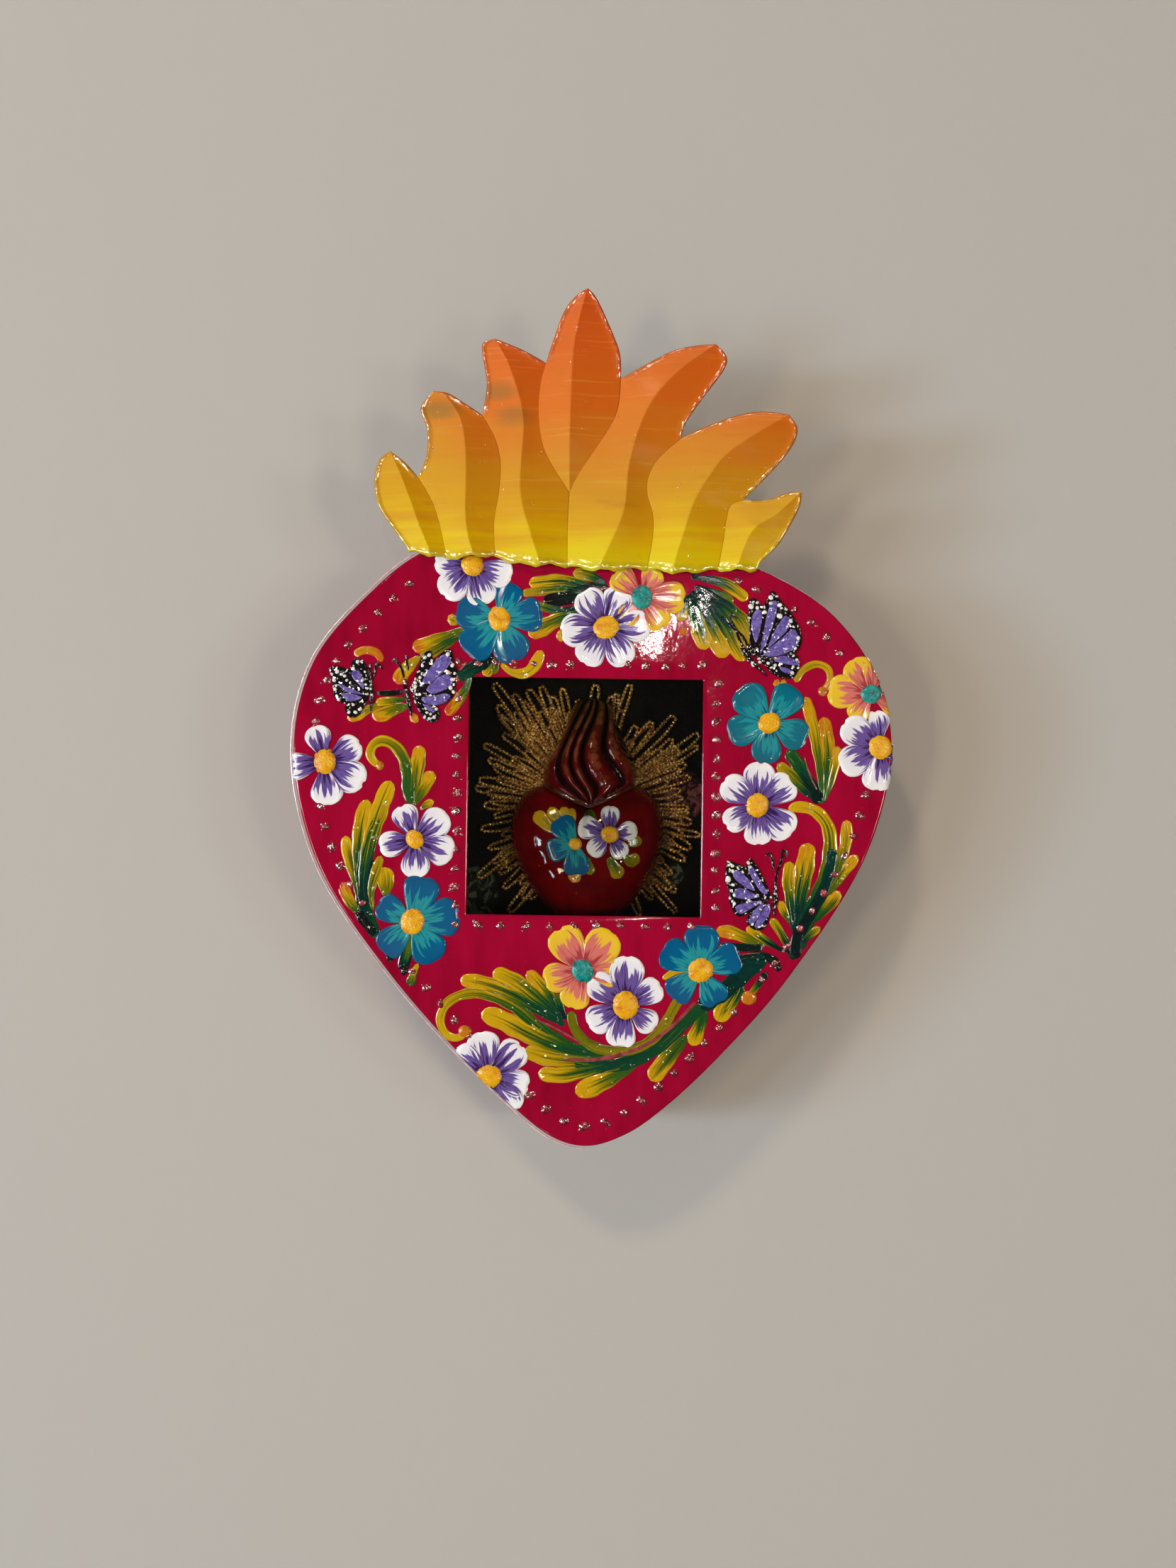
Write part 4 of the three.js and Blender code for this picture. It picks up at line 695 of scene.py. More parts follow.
class Finish:
    """The nodes of a material or a world; every input can be a number, a vector or a wire."""

    def __init__(self, owner):
        self.owner = bpy.data.materials.new(owner) if isinstance(owner, str) else owner
        self.owner.use_nodes = True
        self.tree = self.owner.node_tree
        self.tree.nodes.clear()

    @cached_property
    def at(self):
        return self.wire("TexCoord", {}, "Object")

    def node(self, kind, inputs, **settings):
        node = self.tree.nodes.new("ShaderNode" + kind)
        for key, value in settings.items():
            setattr(node, key, value)
        for key, value in inputs.items():
            if isinstance(value, Wire):
                self.tree.links.new(value.socket, node.inputs[key])
            else:
                node.inputs[key].default_value = value
        return node

    def wire(self, kind, inputs, output=0, **settings):
        return Wire(self, self.node(kind, inputs, **settings).outputs[output])

    def math(self, operation, *values):
        return self.wire("Math", dict(enumerate(values)), operation=operation)

    def vector_math(self, operation, vector, other):
        return self.wire("VectorMath", {0: vector, 1: other}, operation=operation)

    def mix(self, share, a, b, blend="MIX"):
        return self.wire("Mix", {0: share, 6: ink(a), 7: ink(b)}, 2, data_type="RGBA", blend_type=blend)

    def ramp(self, value, *stops):
        """Each stop is its place, then its colour."""
        node = self.node("ValToRGB", {0: value})
        band = node.color_ramp
        while len(band.elements) < len(stops):
            band.elements.new(0.5)
        for element, (place, colour) in zip(band.elements, stops):
            element.position, element.color = place, ink(colour)
        return Wire(self, node.outputs[0])

    def along(self):
        """Across and along the stroke, from the piece's own map."""
        return self.wire("UVMap", {}, uv_map="UVMap").parts()[:2]

    def facts(self):
        return self.wire("Attribute", {}, "Vector", attribute_name="facts").parts()

    def noise(self, scale, detail=3.0, roughness=0.55, distortion=0.0, over=None):
        return self.wire("TexNoise", {"Vector": over or self.at, "Scale": scale, "Detail": detail,
                                      "Roughness": roughness, "Distortion": distortion}, "Fac")

    def grain(self, scales, detail=3.0, roughness=0.55, distortion=0.0):
        """Noise with another scale along each axis."""
        return self.noise(1.0, detail, roughness, distortion, self.vector_math("MULTIPLY", self.at, scales))

    def streaks(self, x, y, z, detail=3.0, roughness=0.55):
        """Noise over a place made of three wires or numbers."""
        return self.noise(1.0, detail, roughness, 0.0, self.wire("CombineXYZ", {0: x, 1: y, 2: z}))

    def cells(self, scale):
        """Small cells, each of another colour."""
        return self.wire("TexVoronoi", {"Vector": self.at, "Scale": scale}, "Color")

    def bump(self, height, distance, strength, normal=None):
        under = {} if normal is None else {"Normal": normal}
        return self.wire("Bump", {"Height": height, "Distance": distance, "Strength": strength, **under})

    def facets(self, scale, tilt):
        """A normal that leans another way in each small cell, so that a few cells catch a lamp."""
        lean = self.vector_math("ADD", self.cells(scale), (-0.5, -0.5, -0.5))
        lean = self.wire("VectorMath", {0: lean, "Scale": tilt}, operation="SCALE")
        leant = self.vector_math("ADD", self.wire("NewGeometry", {}, "Normal"), lean)
        return self.wire("VectorMath", {0: leant}, operation="NORMALIZE")

    def away(self, x, z, place, stretch=(1.0, 1.0)):
        """How far x and z are from the place, with another measure along each."""
        squares = [self.math("POWER", (wire - at) * by, 2.0) for wire, at, by in zip((x, z), place, stretch)]
        return self.math("SQRT", squares[0] + squares[1])

    def glossed(self, colour, roughness, coat, normal, **more):
        """Paint under gloss: the colour itself matt, the shine from the coat alone."""
        return self.shade(Base_Color=colour, Roughness=roughness, Specular_IOR_Level=0.0, Normal=normal,
                          **{"Coat_Weight": 1.0, "Coat_Roughness": coat, "Coat_Normal": normal, **more})

    def shade(self, **inputs):
        """The surface; names are the shader's own with spaces as underscores."""
        return self.out(self.wire("BsdfPrincipled", {key.replace("_", " "): inputs[key] for key in inputs}))

    def out(self, surface, kind="OutputMaterial"):
        self.node(kind, {"Surface": surface})
        return self.owner


def enamel(name):
    """The magenta gloss paint on the tin."""
    f = Finish(name)
    tone = f.noise(18) * 0.6 + f.grain((260, 40, 60), 4) * 0.4
    colour = f.ramp(tone, (0.3, (126, 3, 34)), (0.5, (150, 5, 44)), (0.7, (164, 9, 54)))
    colour = f.mix(f.noise(1500, 2).step(0.74, 0.8) * 0.35, colour, (196, 96, 120))
    peel = f.noise(160, 2) + f.noise(900) * 0.25
    return f.glossed(colour, 0.5, 0.055, f.bump(peel, 0.00015, 0.4))


def dot_enamel(name):
    """The same paint on the punched dots, rougher and full of small glints."""
    f = Finish(name)
    colour = f.ramp(f.noise(500, 2), (0.35, (104, 3, 26)), (0.65, (150, 8, 44)))
    return f.glossed(colour, 0.4, 0.2, f.bump(f.noise(700), 0.0002, 0.5, f.facets(1200, 0.4)), Coat_IOR=2.6)


SMUDGES = [(-0.043, 0.055), (-0.026, 0.060), (-0.022, 0.0535)]
FLAME_FADE = [(0.0, (212, 200, 12)), (0.09, (214, 182, 8)), (0.17, (204, 154, 18)), (0.3, (198, 140, 26)),
              (0.42, (202, 124, 30)), (0.6, (208, 106, 30)), (1.0, (206, 86, 34))]


def flame_paint(name):
    """Lemon at the foot, ochre, then orange at the tips, laid on in level strokes of a broad brush, with painted
    shade on each tongue's right face and painted light on its left face.
    """
    f = Finish(name)
    seed, rim, right_face = f.facts()
    x, _, z = f.at.parts()
    bands = f.streaks(x * 16, seed, z * 300, 4, 0.6)
    drift = f.streaks(x * 30, 3.0, z * 40, 2)
    level = (z - 0.010) / 0.08
    level = level - x.fall(-0.052, -0.026) * level * 0.3
    colour = f.ramp(level + (bands - 0.5) * 0.24 + (drift - 0.5) * 0.16, *FLAME_FADE)
    streak = f.streaks(x * 40, seed, z * 1100).step(0.58, 0.72)
    colour = f.mix(streak * 0.2, colour, (222, 180, 84))
    dull = f.streaks(x * 50, 7.0, z * 260).step(0.6, 0.72)
    colour = f.mix(dull * 0.22, colour, (150, 104, 34))
    for place in SMUDGES:
        worn = (f.away(x, z, place, (0.7, 1.4)) + bands * 0.006).fall(0.004, 0.0085)
        colour = f.mix(worn * 0.5, colour, (116, 98, 52))
    # Painted shade: each tongue's right face is darkened; the next line pales the left face as painted light.
    colour = f.mix(right_face * 0.55, colour, (222, 196, 176), "MULTIPLY")
    colour = f.mix(right_face * -0.07 + 0.07, colour, (226, 180, 130))
    runs = f.noise(620, 2).step(0.7, 0.76)
    shine = f.math("MAXIMUM", rim, runs)
    surface = f.bump(bands * 0.5 + f.noise(260) + runs * 1.5, 0.0002, 0.4, f.facets(1300, shine * 0.4))
    return f.glossed(colour, 0.5, 0.24 - shine * 0.12, surface, Coat_Weight=shine * 0.98 + 0.02, Coat_IOR=2.3)


TONES = [(0.0, (16, 8, 14)), (0.08, (6, 30, 28)), (0.16, (4, 52, 44)), (0.3, (26, 78, 26)), (0.48, (88, 98, 6)),
         (0.68, (158, 130, 8)), (0.86, (200, 160, 14)), (0.93, (190, 110, 22)), (1.0, (180, 70, 26))]


def leaf_paint(name):
    """Strokes loaded with two colours, dark foot and middle to mustard tip and sides, with a thin redder edge."""
    f = Finish(name)
    u, v = f.along()
    first, last, seed = f.facts()
    streaks = f.streaks(u * 10, v * 1.3, seed * 40, 4, 0.6)
    side = abs(u * 2.0 - 1.0)
    share = (v + (streaks - 0.5) * 1.5 + (side - 0.6) * 0.35).step(0.12, 0.82)
    tone = first + share * (last - first) + (f.noise(700) - 0.5) * 0.10
    colour = f.ramp(tone, *TONES)
    ragged = side + (f.noise(420, 2) - 0.5) * 0.3
    colour = f.mix(ragged.step(0.8, 0.95) * tone.step(0.3, 0.7) * 0.6, colour, (160, 62, 26))
    lines = f.streaks(u * 13, v * 0.7, seed * 70).step(0.56, 0.64)
    colour = f.mix(lines * side.fall(0.55, 0.85) * v.fall(0.7, 0.95) * 0.7, colour, (8, 44, 26))
    pale = f.streaks(u * 16, v * 2.2, seed * 90, 2).step(0.64, 0.72)
    colour = f.mix(pale * 0.3 * v, colour, (206, 186, 70))
    glints = f.facets(2200, f.noise(330, 2).step(0.59, 0.63) * 0.6)
    return f.glossed(colour, 0.4, 0.07, f.bump(streaks + f.noise(800, 2) * 0.3, 0.00008, 0.5, glints), Coat_IOR=1.8)


def petal_paint(name, rim, body, base, deep, reach):
    """A petal: its own colour at the tip, jagged streaks of the darker paint pulled out from the foot."""
    f = Finish(name)
    u, v = f.along()
    seed, shade, _ = f.facts()
    spread = (u - 0.5) * (v * 0.35 + 0.65)
    comb = f.streaks(spread * 15, v * 0.5, seed * 50, 2, 0.5)
    fine = f.streaks(spread * 36, v, seed * 80, 2)
    side = abs(u * 2.0 - 1.0)
    edge = v - (comb - 0.5) * 1.1 - (fine - 0.5) * 0.4 + side * side * 0.22
    dark = edge.fall(reach - 0.34, reach - 0.24)
    lines = fine.step(0.55, 0.64) * edge.fall(reach - 0.14, reach - 0.04)
    colour = f.mix(v.step(0.45, 0.95), body, rim)
    colour = f.mix(fine.step(0.5, 0.75) * 0.3, colour, body)
    colour = f.mix(edge.fall(reach - 0.02, reach + 0.05), colour, base)
    colour = f.mix(f.math("MAXIMUM", dark, lines * 0.7), colour, deep)
    colour = f.mix(shade * 0.3, colour, (110, 70, 60))
    border = f.math("MAXIMUM", side.step(0.72, 0.9), v.step(0.86, 0.95))
    glints = f.facets(2200, border * f.noise(400, 2).step(0.48, 0.55) * 0.6)
    return f.glossed(colour, 0.45, 0.1, f.bump(comb + fine * 0.5, 0.00006, 0.5, glints))


def pollen_paint(name):
    """Flower centres: orange-yellow with a few darker dabs, or teal where the facts say so."""
    f = Finish(name)
    spots = f.noise(420, 3, 0.6)
    warm = f.ramp(spots, (0.3, (200, 116, 16)), (0.46, (224, 160, 18)), (0.7, (232, 180, 28)))
    cool = f.ramp(spots, (0.32, (8, 96, 104)), (0.5, (22, 136, 132)), (0.7, (60, 166, 152)))
    return f.glossed(f.mix(f.facts()[0], warm, cool), 0.4, 0.08, f.bump(spots + f.noise(1300, 2), 0.0004, 0.7))


def gloss_paint(name, low, high, scale=500, glints=0.0):
    """One brushed-on colour that varies a little, under gloss."""
    f = Finish(name)
    mottle = f.noise(scale, 4, 0.6)
    surface = f.bump(mottle, 0.0001, 0.6, f.facets(1500, glints))
    return f.glossed(f.ramp(mottle, (0.3, low), (0.7, high)), 0.4, 0.08, surface, Coat_IOR=1.9)


def tin(name, dark, light, rust=0.0, shine=0.34):
    """Bare tinplate: soft spangle, rolling marks, scuffs and stains."""
    f = Finish(name)
    spangle = f.wire("SeparateColor", {0: f.cells(160)})
    grain = f.grain((30, 30, 700))
    clouds = f.noise(40, 4, 0.6)
    colour = f.ramp(spangle * 0.22 + grain * 0.3 + clouds * 0.6, (0.3, dark), (0.75, light))
    stain = f.noise(75, 5, 0.7, 0.6).step(0.56, 0.7)
    colour = f.mix(stain * (0.3 + rust), colour, (112, 84, 58))
    colour = f.mix(f.noise(620).step(0.7, 0.76) * (0.5 + rust / 2), colour, (84, 52, 34))
    scratch = f.grain((1400, 900, 26), 2, 0.5, 0.8).step(0.68, 0.72)
    surface = f.bump(grain + f.noise(120, 2) - scratch * 0.5, 0.00025, 0.5)
    return f.shade(Base_Color=colour, Metallic=0.85, Normal=surface,
                   Roughness=clouds * 0.3 + stain * 0.25 + (shine - 0.12))


def wire_finish(name):
    f = Finish(name)
    pits = f.noise(900, 4, 0.6)
    return f.shade(Base_Color=f.ramp(pits, (0.35, (78, 66, 56)), (0.6, (150, 144, 136))), Metallic=0.9,
                   Roughness=pits * 0.3 + 0.2, Normal=f.bump(pits, 0.0002, 0.6))


def card_finish(name):
    f = Finish(name)
    fibres = f.grain((900, 900, 260), 4, 0.65)
    colour = f.ramp(fibres * 0.7 + f.noise(60) * 0.3, (0.35, (146, 116, 82)), (0.65, (182, 154, 116)))
    return f.shade(Base_Color=colour, Roughness=0.9, Normal=f.bump(fibres, 0.0002, 0.6))


# Printed blooms and sprays of leaves: their dark and light colours, then where each is and its reach, in metres.
PRINTS = [((46, 18, 22), (128, 76, 76), [(0.03, -0.0505, 0.01), (-0.026, -0.09, 0.005), (0.012, -0.094, 0.008)]),
          ((26, 30, 24), (92, 98, 78), [(-0.033, -0.08, 0.0095), (0.028, -0.074, 0.004)])]


def lining_finish(name):
    """Printed dark cloth: near-black ground, dull mauve-brown blooms and grey-green leaves, plain weave."""
    f = Finish(name)
    drift = f.wire("TexNoise", {"Vector": f.at, "Scale": 60.0, "Detail": 2.0}, "Color")
    warped = f.vector_math("ADD", f.at, f.vector_math("MULTIPLY", drift, (0.008, 0.008, 0.008)))
    x, _, z = warped.parts()
    colour = f.ramp(f.noise(200), (0.3, (5, 4, 1)), (0.7, (17, 13, 6)))
    petals = f.noise(230, 2, 0.5, 1.5, over=warped).step(0.42, 0.6)
    for dark, light, spots in PRINTS:
        printed = f.ramp(petals, (0.1, dark), (0.9, light))
        for *place, reach in spots:
            colour = f.mix(f.away(x, z, place).fall(reach * 0.85, reach), colour, printed)
    warp, weft = (f.wire("TexWave", {"Vector": f.at, "Scale": 420.0}, "Fac", bands_direction=way) for way in "XZ")
    return f.shade(Base_Color=colour, Roughness=0.9, Specular_IOR_Level=0.2, Sheen_Weight=0.1,
                   Normal=f.bump(warp + weft, 0.0001, 0.8))


def gold_finish(name):
    """Metallic thread: dark brassy gold that glitters."""
    f = Finish(name)
    level = f.wire("SeparateColor", {0: f.cells(2200)})
    colour = f.ramp(level, (0.1, (112, 62, 6)), (0.5, (198, 124, 20)), (0.95, (255, 212, 96)))
    surface = f.bump(f.noise(1500, 2), 0.0001, 0.4, f.facets(1100, 0.6))
    return f.shade(Base_Color=colour, Metallic=0.6, Roughness=0.36, Coat_Weight=1.0, Coat_Roughness=0.12,
                   Coat_IOR=2.2, Normal=surface, Coat_Normal=surface)


def clay_gloss(name, low, high):
    """Fired clay under thick gloss paint."""
    f = Finish(name)
    height = f.noise(220) - f.noise(700, 2).step(0.68, 0.74) * 0.6
    colour = f.ramp(f.noise(130, 4, 0.6), (0.3, low), (0.7, high))
    return f.glossed(colour, 0.4, 0.04, f.bump(height, 0.00022, 0.5))


CLAY_FADE = [(0.1, (92, 2, 4)), (0.42, (96, 8, 6)), (0.68, (76, 28, 12)), (0.92, (60, 40, 12))]


def clay_flame_gloss(name):
    """Dark red at the foot to bronze-brown at the top, the ridges lighter, partly worn and partly a painted
    highlight, and painted shade near black between them.
    """
    f = Finish(name)
    ridge, height, _ = f.facts()
    worn = f.noise(330, 4, 0.6) - 0.5
    colour = f.ramp(height + worn * 0.5, *CLAY_FADE)
    # The ridges' lighter brown is partly wear and partly a painted highlight on their tops.
    ridge_wear_and_highlight = (ridge + worn * 0.9).step(0.86, 1.05) * height.step(0.05, 0.5)
    colour = f.mix(ridge_wear_and_highlight * (0.7 - height * 0.4), colour, (156, 88, 52))
    # Painted shade: near black in the grooves between the ridges.
    colour = f.mix(ridge.fall(0.45, 0.95) * 0.92, colour, (12, 3, 2))
    return f.glossed(colour, 0.4, 0.07, f.bump(f.noise(240), 0.0005, 0.7))


def glass_finish(name):
    """Thin clear glass: a faint reflection and smears over a see-through pane."""
    f = Finish(name)
    clear = f.wire("BsdfTransparent", {0: (0.96, 0.98, 0.97, 1.0)})
    gloss = f.wire("BsdfGlossy", {"Color": (1, 1, 1, 1), "Roughness": f.grain((40, 40, 90)) * 0.02 + 0.01})
    share = f.wire("Fresnel", {"IOR": 1.35}) * 0.8
    return f.out(f.wire("MixShader", {0: share, 1: clear, 2: gloss}))

# The painted front

LIP = 0.4
UNDER_PETALS = 11.5
DOT_INSET, DOT_STEP = 5.6, 6.4
PLATE_ROWS = 34


def window_ray(points):
    """Where the ray from the window's centre to each point leaves the window, with the corners kept."""
    local = window_frame(points)
    half = np.array(WINDOW_HALF)
    edge = local * (half[None] / np.maximum(np.abs(local), 1e-6)).min(axis=1)[:, None]
    for sx in (-1, 1):
        for sz in (-1, 1):
            corner = half * (sx, sz)
            edge[((edge - corner) ** 2).sum(axis=1).argmin()] = corner
    return edge


def front_plate():
    """The sheet, from behind the window's turned lip out and round the heart's rolled edge."""
    hole = window_ray(OUTLINE)
    lip = LIP * np.sign(hole) * (np.abs(np.abs(hole) - WINDOW_HALF) < 1e-4)
    rings = []
    for turn, back in ((1.0, True), (1.0, False), (0.8, False), (0.55, False), (0.3, False), (0.1, False)):
        angle = turn * math.pi / 2
        edge = from_window_frame(hole + lip * (1 - math.sin(angle)))
        rings.append(at_depth(edge, FRONT + 0.5 if back else FRONT + SUNK + LIP * (1 - math.cos(angle))))
    inner, outer = from_window_frame(hole + lip), OUTLINE - OUTLINE_OUT * 1.5
    flat = [inner + (outer - inner) * t for t in np.linspace(0, 1, PLATE_ROWS)]
    flat += [OUTLINE + OUTLINE_OUT * d for d in (-1.1, -0.8, -0.62, -0.45, -0.25, -0.05, 0.15, 0.33, 0.6, 0.9)]
    rings.append(on_front(np.vstack(flat), np.full(len(flat) * len(OUTLINE), 0.06)))
    points = np.vstack(rings)
    rows = len(points) // len(OUTLINE)
    faces = [face[::-1] for face in grid_faces(rows, len(OUTLINE), closed=True)]
    plate = made("painted_front", points, faces, enamel("magenta_enamel"), "case",
                 unit_map(rows, len(OUTLINE)))
    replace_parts(plate, "front_plate")


def punched_dots():
    pile = Pile()
    covered = np.array([flower[1:3] for flower in FLOWERS], float)
    for place in [*window_dots(), *edge_dots()]:
        if np.linalg.norm(covered - place, axis=1).min() > UNDER_PETALS:
            drop(pile, place, RANDOM.uniform(0.9, 1.2), RANDOM.uniform(0.4, 0.6), seeded(), sides=14, rough=0.18,
                 flare=1.45)
            for _ in range(RANDOM.integers(0, 3)):
                drop(pile, place + RANDOM.uniform(-1.5, 1.5, 2), RANDOM.uniform(0.25, 0.45), 0.25, seeded(),
                     sides=8, rough=0.3, flare=1.5)
    pile.mesh("punched_dots", dot_enamel("pooled_enamel"))


def window_dots():
    """Two rows and two columns round the window, the lower row wider spaced, each dot a little out of line."""
    left, right = -WINDOW_HALF[0] - 3.2, WINDOW_HALF[0] + 4.1
    low, high = -WINDOW_HALF[1] - 2.9, WINDOW_HALF[1] + 3.9
    spots = [(x, high) for x in np.arange(left, right, 5.3)] + [(x, low) for x in np.arange(left, right, 6.7)]
    spots += [(x, z) for x in (left, right) for z in np.arange(low + 5.3, high - 2, 5.3)]
    return from_window_frame(np.array(spots) + RANDOM.uniform(-0.35, 0.35, (len(spots), 2)))


def edge_dots():
    """A row along the heart's edge, as far up as the crest's foot."""
    row = OUTLINE - OUTLINE_OUT * DOT_INSET
    row = respaced(np.vstack([row, row[:1]]), int(length_of(OUTLINE) / DOT_STEP) + 1)[:-1]
    return [spot for spot in row if spot[1] < 7.5]


CREST_RIDGE = 2.6
CREST_FRONT = -32.8
CREST_SHEET = 0.45
CREST_BASE = [(-51.2, 15.1), (-41, 14.5), (-27.2, 13.8), (-6.8, 11.2), (15.6, 10.4), (35.5, 10), (46.2, 11.2)]
CREST_NOTCHES = [(-49, 36.2), (-30.8, 53.6), (-12.9, 68.2), (8.2, 63.8), (25.3, 47.1), (42.7, 29.6)]
CREST_FORK = (-6.3, 31.8)
CREST_FORK_FOOT = (-6.8, 21.4)
CREST_TIPS = [(-56.8, 43.4), (-44.6, 60.2), (-27.2, 75), (-1.2, 89.3), (35, 73.5), (55.4, 53.7), (59, 32.1)]
CREST_VALLEYS = [
    (-43, 23.5, -45.1, 29.6), (-27.5, 23.5, -26.2, 31.6, -25.7, 39.8, -27.2, 46.9),
    (-11.4, 39.8, -14, 45.9, -15, 54.1, -14.5, 62.2), (-3.2, 37.8, 4.9, 50, 7.5, 56.1),
    (17.2, 19.4, 17.2, 25.5, 15.6, 31.6, 16.1, 36.7, 19.2, 41.8), (37.1, 18.4, 37.8, 23.5, 39.1, 28.1)]
CREST_LEFT = [
    (-55.8, 21.4, -59.9, 27.6, -61.2, 34.7, -59.9, 40.8), (-46.6, 42, -46.4, 49.5, -48.2, 55.6),
    (-29.6, 62.2, -30.8, 70.4, -30.6, 73.8), (-10.9, 74.5, -7.8, 82.7, -4.3, 87.2), (21.2, 70.9, 28.4, 72.9),
    (31.4, 50, 40.6, 53.3, 47.8, 54.5), (48.8, 29.6, 54.9, 31.6)]
CREST_RIGHT = [
    (-52.7, 40.3), (-35.4, 56.6, -40.5, 59.7), (-19.6, 71.9), (8, 70.4, 5.9, 76.5, 1.6, 86),
    (26.3, 51, 30.4, 57.1, 38, 68), (49.8, 36.7, 55.9, 43.9, 57.9, 49.5), (51.9, 16.3, 55.9, 22.5, 58.6, 28.1)]
CREST_RIDGES = [
    (-45.1, 14.8, -48.1, 21.4, -50.7, 28.6, -53.8, 36.7),
    (-33.3, 14.1, -35.4, 23.5, -35.4, 41.8, -36.9, 52, -41, 58.5),
    (-14.5, 11.8, -17.5, 20.4, -20.3, 32.5, -19.3, 52, -23.1, 66.3),
    (-6.3, 31.8, -6.3, 49, -5.5, 69.4, -3.8, 79.6),
    (1.9, 10.8, 8.6, 25.5, 10.4, 39.5, 14.1, 52, 19.2, 60.2, 26.3, 67.3),
    (22.3, 10.2, 25.3, 19.4, 28.4, 28.6, 32.5, 35.7, 38.6, 42.9), (40.5, 10.4, 44.7, 20.4, 51.9, 25.5)]
FORK_TONGUE = 3


def crest_tongues():
    """For each tongue the stretches of its left and of its right edge, then its ridge."""
    feet = [*CREST_BASE[1:3], CREST_FORK, CREST_FORK, *CREST_BASE[4:6]]
    valleys = [[foot, *rows_of(points), notch] for foot, points, notch in zip(feet, CREST_VALLEYS, CREST_NOTCHES)]
    fork = [CREST_BASE[3], CREST_FORK_FOOT, CREST_FORK]
    left_from, right_from = [CREST_BASE[0], *CREST_NOTCHES], [*CREST_NOTCHES, CREST_BASE[-1]]
    for i, tip in enumerate(CREST_TIPS):
        left = [fork] * (i == FORK_TONGUE + 1) + valleys[:i][-1:]
        right = [fork] * (i == FORK_TONGUE - 1) + valleys[i:][:1]
        yield ([*left, [left_from[i], *rows_of(CREST_LEFT[i]), tip]],
               [*right, [right_from[i], *rows_of(CREST_RIGHT[i]), tip]], [*rows_of(CREST_RIDGES[i]), tip])


def chain(stretches):
    """The stretches as one fine line, with the share of its length at each joint."""
    parts = [smooth_line(stretch, 0.4) for stretch in stretches]
    lengths = np.cumsum([length_of(part) for part in parts])
    line = np.vstack([parts[0]] + [part[1:] for part in parts[1:]])
    return line, list(lengths[:-1] / lengths[-1])


CREST_ACROSS = np.array([0, 0.03, 0.07, 0.12, 0.2, 0.3, 0.42, 0.55, 0.68, 0.8, 0.9, 0.965, 1.0])


def flame_crest():
    """Seven tongues, each a half on either side of its ridge, with a bead of paint along the cut edges."""
    pile = Pile(lambda points, lift: at_depth(points, CREST_FRONT - lift))
    for i, (left_stretches, right_stretches, ridge_points) in enumerate(crest_tongues()):
        ridge = smooth_line(ridge_points, 0.4)
        (left, left_joints), (right, right_joints) = chain(left_stretches), chain(right_stretches)
        rows = np.linspace(0, 1, max(40, int(length_of(ridge) / 0.7)))
        shares = np.unique(np.round(np.concatenate([rows, left_joints, right_joints]), 5))
        ridge_at = at_shares(ridge, shares)
        nearest = nearest_on(ridge_at, np.vstack([left, right]))[1]
        top = CREST_RIDGE * np.minimum(1, nearest / 8)
        climbed = (shares * length_of(ridge))[:, None]
        halves = []
        for line, joints in ((left, left_joints), (right, right_joints)):
            start = joints[-1] if joints else 0.0
            edge_at = at_shares(line, shares)
            across = edge_at[:, None] + (ridge_at - edge_at)[:, None] * CREST_ACROSS[None, :, None]
            width = np.linalg.norm(ridge_at - edge_at, axis=1)[:, None] * CREST_ACROSS[None]
            rise = top[:, None] * (CREST_ACROSS ** 1.12)[None]
            bead = 0.6 * np.exp(-((width - 0.55) / 0.42) ** 2) * np.clip((shares - start) / 0.03, 0, 1)[:, None]
            bead *= np.clip(nearest / 1.5, 0, 1)[:, None]
            if i != FORK_TONGUE:
                bead = np.maximum(bead, 0.6 * np.exp(-((climbed - 0.7) / 0.55) ** 2))
                across[..., 1] -= foot_wave(across[..., 0]) * np.exp(-climbed / 1.6)
            halves.append((across, rise + bead, np.clip(bead / 0.2, 0, 1)))
        flat, rise, rim = (np.concatenate([a, b[:, -2::-1]], axis=1) for a, b in zip(*halves))
        rise = rise + ripples(flat) * np.clip(rise / 0.5, 0, 1)
        # Marks each tongue's right half, which flame_paint darkens as painted shade.
        right_face = np.broadcast_to(np.arange(rim.shape[1]) >= len(CREST_ACROSS), rim.shape)
        seed = np.full(rim.size, RANDOM.uniform(0, 30))
        pile.grid(flat, rise, np.stack([seed, rim.ravel(), right_face.ravel()], axis=1))
    crest = pile.mesh("flame_paint", flame_paint("flame_enamel"), slot="painted_flame")
    crest.data.materials.append(tin("crest_back", (112, 108, 102), (176, 174, 168), 0.1))
    sheet = crest.modifiers.new("sheet", "SOLIDIFY")
    sheet.thickness, sheet.offset = CREST_SHEET * MM, -1
    sheet.material_offset, sheet.material_offset_rim = 1, 0
    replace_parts(crest, "flame_crest")


def foot_wave(x):
    """How far thick paint hangs below the crest's foot."""
    return 0.9 + 0.55 * np.sin(x * 0.29 + 0.8) + 0.4 * np.sin(x * 0.83 + 2) + 0.1 * np.sin(x * 2.3)


def ripples(flat):
    x, z = flat[..., 0], flat[..., 1]
    return 0.02 * (np.sin(z * 0.5 + x * 0.3) + np.sin(x * 0.6 - z * 0.25) + 0.6 * np.sin(z * 1.1 + x * 0.9))


LEAF_WIDER, STEM_WIDTH, PANEL_SWELL = 1.24, 0.55, 1.26
# Each petal's rim, body, streaks and darkest streaks, how far the streaks reach, its width and its height.
PETALS = {
    "white": ((240, 240, 242), (228, 226, 236), (102, 80, 150), (50, 28, 82), 0.47, 0.9, 0.2),
    "blue": ((2, 78, 124), (3, 88, 132), (34, 140, 150), (4, 96, 120), 0.36, 0.98, 0.1),
    "teal": ((2, 92, 118), (4, 106, 126), (26, 138, 148), (4, 62, 96), 0.42, 0.94, 0.1),
    "yellow": ((228, 190, 40), (224, 182, 52), (206, 112, 104), (160, 58, 64), 0.48, 0.94, 0.14),
}


